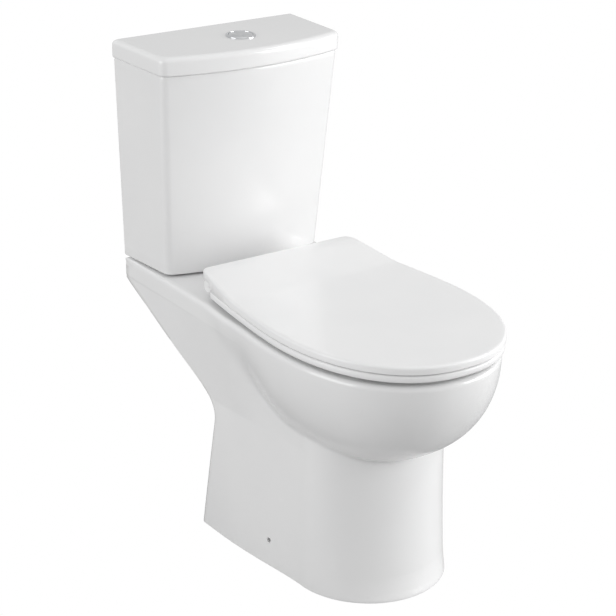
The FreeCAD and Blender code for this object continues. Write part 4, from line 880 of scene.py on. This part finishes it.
def finish(name, light, dark, scale, rough, waves, bump, metallic=0.0, coat=0.0, coat_rough=0.03):
    """A Principled material whose tone, gloss and relief come from the two groups."""
    material = bpy.data.materials.new(name)
    material.use_nodes = True
    tree = material.node_tree
    shader = tree.nodes["Principled BSDF"]
    shader.inputs["Metallic"].default_value = metallic
    shader.inputs["Coat Weight"].default_value = coat
    shader.inputs["Coat Roughness"].default_value = coat_rough
    tone = tree.nodes.new("ShaderNodeGroup")
    tone.node_tree = drift
    tone.inputs["Colour A"].default_value = (*light, 1)
    tone.inputs["Colour B"].default_value = (*dark, 1)
    tone.inputs["Scale"].default_value = scale
    tone.inputs["Rough Low"].default_value, tone.inputs["Rough High"].default_value = rough
    height = tree.nodes.new("ShaderNodeGroup")
    height.node_tree = relief
    for label, value in zip(("Wave Scale", "Grain Scale", "Grain"), waves):
        height.inputs[label].default_value = value
    bumps = tree.nodes.new("ShaderNodeBump")
    bumps.inputs["Strength"].default_value, bumps.inputs["Distance"].default_value = bump
    tree.links.new(tone.outputs["Colour"], shader.inputs["Base Color"])
    tree.links.new(tone.outputs["Roughness"], shader.inputs["Roughness"])
    tree.links.new(height.outputs["Height"], bumps.inputs["Height"])
    tree.links.new(bumps.outputs["Normal"], shader.inputs["Normal"])
    return material


china = finish("glazed_china", (0.86, 0.86, 0.86), (0.835, 0.836, 0.838), 5.0, (0.16, 0.26),
               (14.0, 260.0, 0.05), (0.05, 0.002), coat=0.45)
duroplast = finish("white_duroplast", (0.88, 0.88, 0.88), (0.86, 0.862, 0.863), 7.0, (0.28, 0.36),
                   (30.0, 500.0, 0.1), (0.03, 0.001), coat=0.2, coat_rough=0.12)
chrome = finish("chrome_plate", (0.80, 0.81, 0.82), (0.72, 0.73, 0.75), 60.0, (0.04, 0.1),
                (90.0, 1500.0, 0.1), (0.04, 0.0006), metallic=1.0)
steel = finish("stainless_steel", (0.66, 0.66, 0.65), (0.55, 0.55, 0.55), 160.0, (0.25, 0.42),
               (300.0, 2500.0, 0.6), (0.15, 0.0004), metallic=1.0)
black_rubber = finish("black_rubber", (0.030, 0.030, 0.031), (0.018, 0.018, 0.019), 50.0,
                      (0.55, 0.75), (200.0, 1800.0, 0.8), (0.35, 0.0005))
pale_rubber = finish("pale_rubber", (0.72, 0.72, 0.70), (0.66, 0.66, 0.64), 50.0, (0.5, 0.65),
                     (200.0, 1800.0, 0.8), (0.3, 0.0005))
moulded_white = finish("moulded_white", (0.74, 0.75, 0.75), (0.69, 0.70, 0.71), 25.0, (0.38, 0.5),
                       (80.0, 1400.0, 0.7), (0.2, 0.0005))
moulded_grey = finish("moulded_grey", (0.50, 0.53, 0.56), (0.45, 0.48, 0.51), 25.0, (0.38, 0.5),
                      (80.0, 1400.0, 0.7), (0.2, 0.0005))
pale_blue = finish("moulded_pale_blue", (0.42, 0.56, 0.66), (0.37, 0.51, 0.62), 25.0, (0.38, 0.5),
                   (80.0, 1400.0, 0.7), (0.2, 0.0005))
dark_plastic = finish("moulded_dark", (0.075, 0.082, 0.09), (0.055, 0.06, 0.068), 30.0,
                      (0.4, 0.55), (80.0, 1400.0, 0.7), (0.25, 0.0005))

# %% Who wears which finish
wear = {
    china: ["pan_rim", "pan_bowl", "pan_trap", "pan_inlet", "pan_pedestal", "cistern",
            "cistern_lid"],
    duroplast: ["seat_ring", "seat_cover", "hinge_posts"],
    chrome: ["button_ring", "half_flush_button", "full_flush_button"],
    steel: ["coupling_bolts", "bolt_washers", "float_arm_pin", "hinge_pins", "hinge_studs",
            "half_flush_spring", "full_flush_spring"],
    black_rubber: ["coupling_seal", "bolt_seals", "flush_valve_gasket", "fill_valve_gasket",
                   "hinge_gaskets", "hinge_bushes", "flush_valve_seal"],
    pale_rubber: ["shelf_pads", "ring_bumpers", "cover_bumpers"],
    moulded_white: ["wing_nuts", "flush_valve_body", "flush_valve_nut", "fill_valve_body",
                    "fill_valve_nut", "fill_valve_cap", "hinge_nuts", "button_lock_nut",
                    "button_carrier", "float_cup"],
    moulded_grey: ["full_flush_rod", "full_flush_plunger", "overflow_tube", "float_link",
                   "float_arm"],
    pale_blue: ["half_flush_rod", "half_flush_plunger"],
    dark_plastic: ["hinge_dampers"],
}
for material, names in wear.items():
    for name in names:
        node = frame["nodes"][name]
        node.data.materials.clear()
        node.data.materials.append(material)
missing = set(frame["nodes"]) - {name for names in wear.values() for name in names}
print("nodes without a finish:", sorted(missing))
SKIN_WORDS = {"chrome": chrome, "china": china, "trap": china, "inlet": china}
for piece in bpy.data.objects:
    if piece.type == "MESH" and not piece.data.materials:
        found = [material for word, material in SKIN_WORDS.items() if word in piece.name]
        piece.data.materials.append((found or [duroplast])[0])

# %% [markdown]
# ## Stage and light
# White ware on white needs light that models it: a broad soft source to the front right, a weaker
# fill from the left, a faint one above, a small one for the gloss on the cistern and a bright
# surround. The floor lights the object as a grey one does, and looks white to the camera.

# %% Stage


def soft_box(name, place, aim, size, power):
    """A rectangular area light that looks at a point."""
    lamp = bpy.data.lights.new(name, "AREA")
    lamp.shape, lamp.size, lamp.size_y, lamp.energy = "RECTANGLE", size[0], size[1], power
    box = bpy.data.objects.new(name, lamp)
    box.location = place
    box.rotation_euler = (Vector(aim) - Vector(place)).to_track_quat("-Z", "Y").to_euler()
    bpy.context.scene.collection.objects.link(box)


FLOOR_HALF, FLOOR_Z = 9.0, -0.0005
floor_mesh = bpy.data.meshes.new("studio_floor")
floor_corners = [(x * FLOOR_HALF, y * FLOOR_HALF, FLOOR_Z)
                 for x, y in ((-1, -1), (1, -1), (1, 1), (-1, 1))]
floor_mesh.from_pydata(floor_corners, [], [(0, 1, 2, 3)])
floor = bpy.data.objects.new("studio_floor", floor_mesh)
bpy.context.scene.collection.objects.link(floor)
pale = bpy.data.materials.new("pale_floor")
pale.use_nodes = True
tree = pale.node_tree
shade = tree.nodes["Principled BSDF"]
shade.inputs["Base Color"].default_value = (0.42, 0.42, 0.42, 1)
shade.inputs["Roughness"].default_value = 0.9
rays, glow = tree.nodes.new("ShaderNodeLightPath"), tree.nodes.new("ShaderNodeEmission")
blend = tree.nodes.new("ShaderNodeMixShader")
tree.links.new(rays.outputs["Is Camera Ray"], blend.inputs["Fac"])
tree.links.new(shade.outputs["BSDF"], blend.inputs[1])
tree.links.new(glow.outputs["Emission"], blend.inputs[2])
tree.links.new(blend.outputs["Shader"], tree.nodes["Material Output"].inputs["Surface"])
floor_mesh.materials.append(pale)

soft_box("key_light", (2.55, -1.75, 0.95), (0, 0.0, 0.35), (2.4, 1.7), 72)
soft_box("top_light", (0.0, -0.2, 3.2), (0, 0.0, 0.4), (2.4, 2.4), 5)
soft_box("fill_light", (-3.0, 0.3, 1.2), (0, 0.0, 0.5), (2.0, 2.0), 34)
soft_box("gloss_light", (1.75, -0.85, 2.5), (0.05, 0.2, 0.76), (0.6, 0.5), 6)

world = bpy.data.worlds.new("white_surround")
world.use_nodes = True
tree = world.node_tree
tree.nodes.clear()
rays = tree.nodes.new("ShaderNodeLightPath")
seen, lit = tree.nodes.new("ShaderNodeBackground"), tree.nodes.new("ShaderNodeBackground")
seen.inputs["Color"].default_value, seen.inputs["Strength"].default_value = (1, 1, 1, 1), 1.0
lit.inputs["Color"].default_value, lit.inputs["Strength"].default_value = (1, 1, 1, 1), 0.62
mix, out = tree.nodes.new("ShaderNodeMixShader"), tree.nodes.new("ShaderNodeOutputWorld")
tree.links.new(rays.outputs["Is Camera Ray"], mix.inputs["Fac"])
tree.links.new(lit.outputs["Background"], mix.inputs[1])
tree.links.new(seen.outputs["Background"], mix.inputs[2])
tree.links.new(mix.outputs["Shader"], out.inputs["Surface"])
bpy.context.scene.world = world
bpy.context.scene.view_settings.view_transform = "Standard"
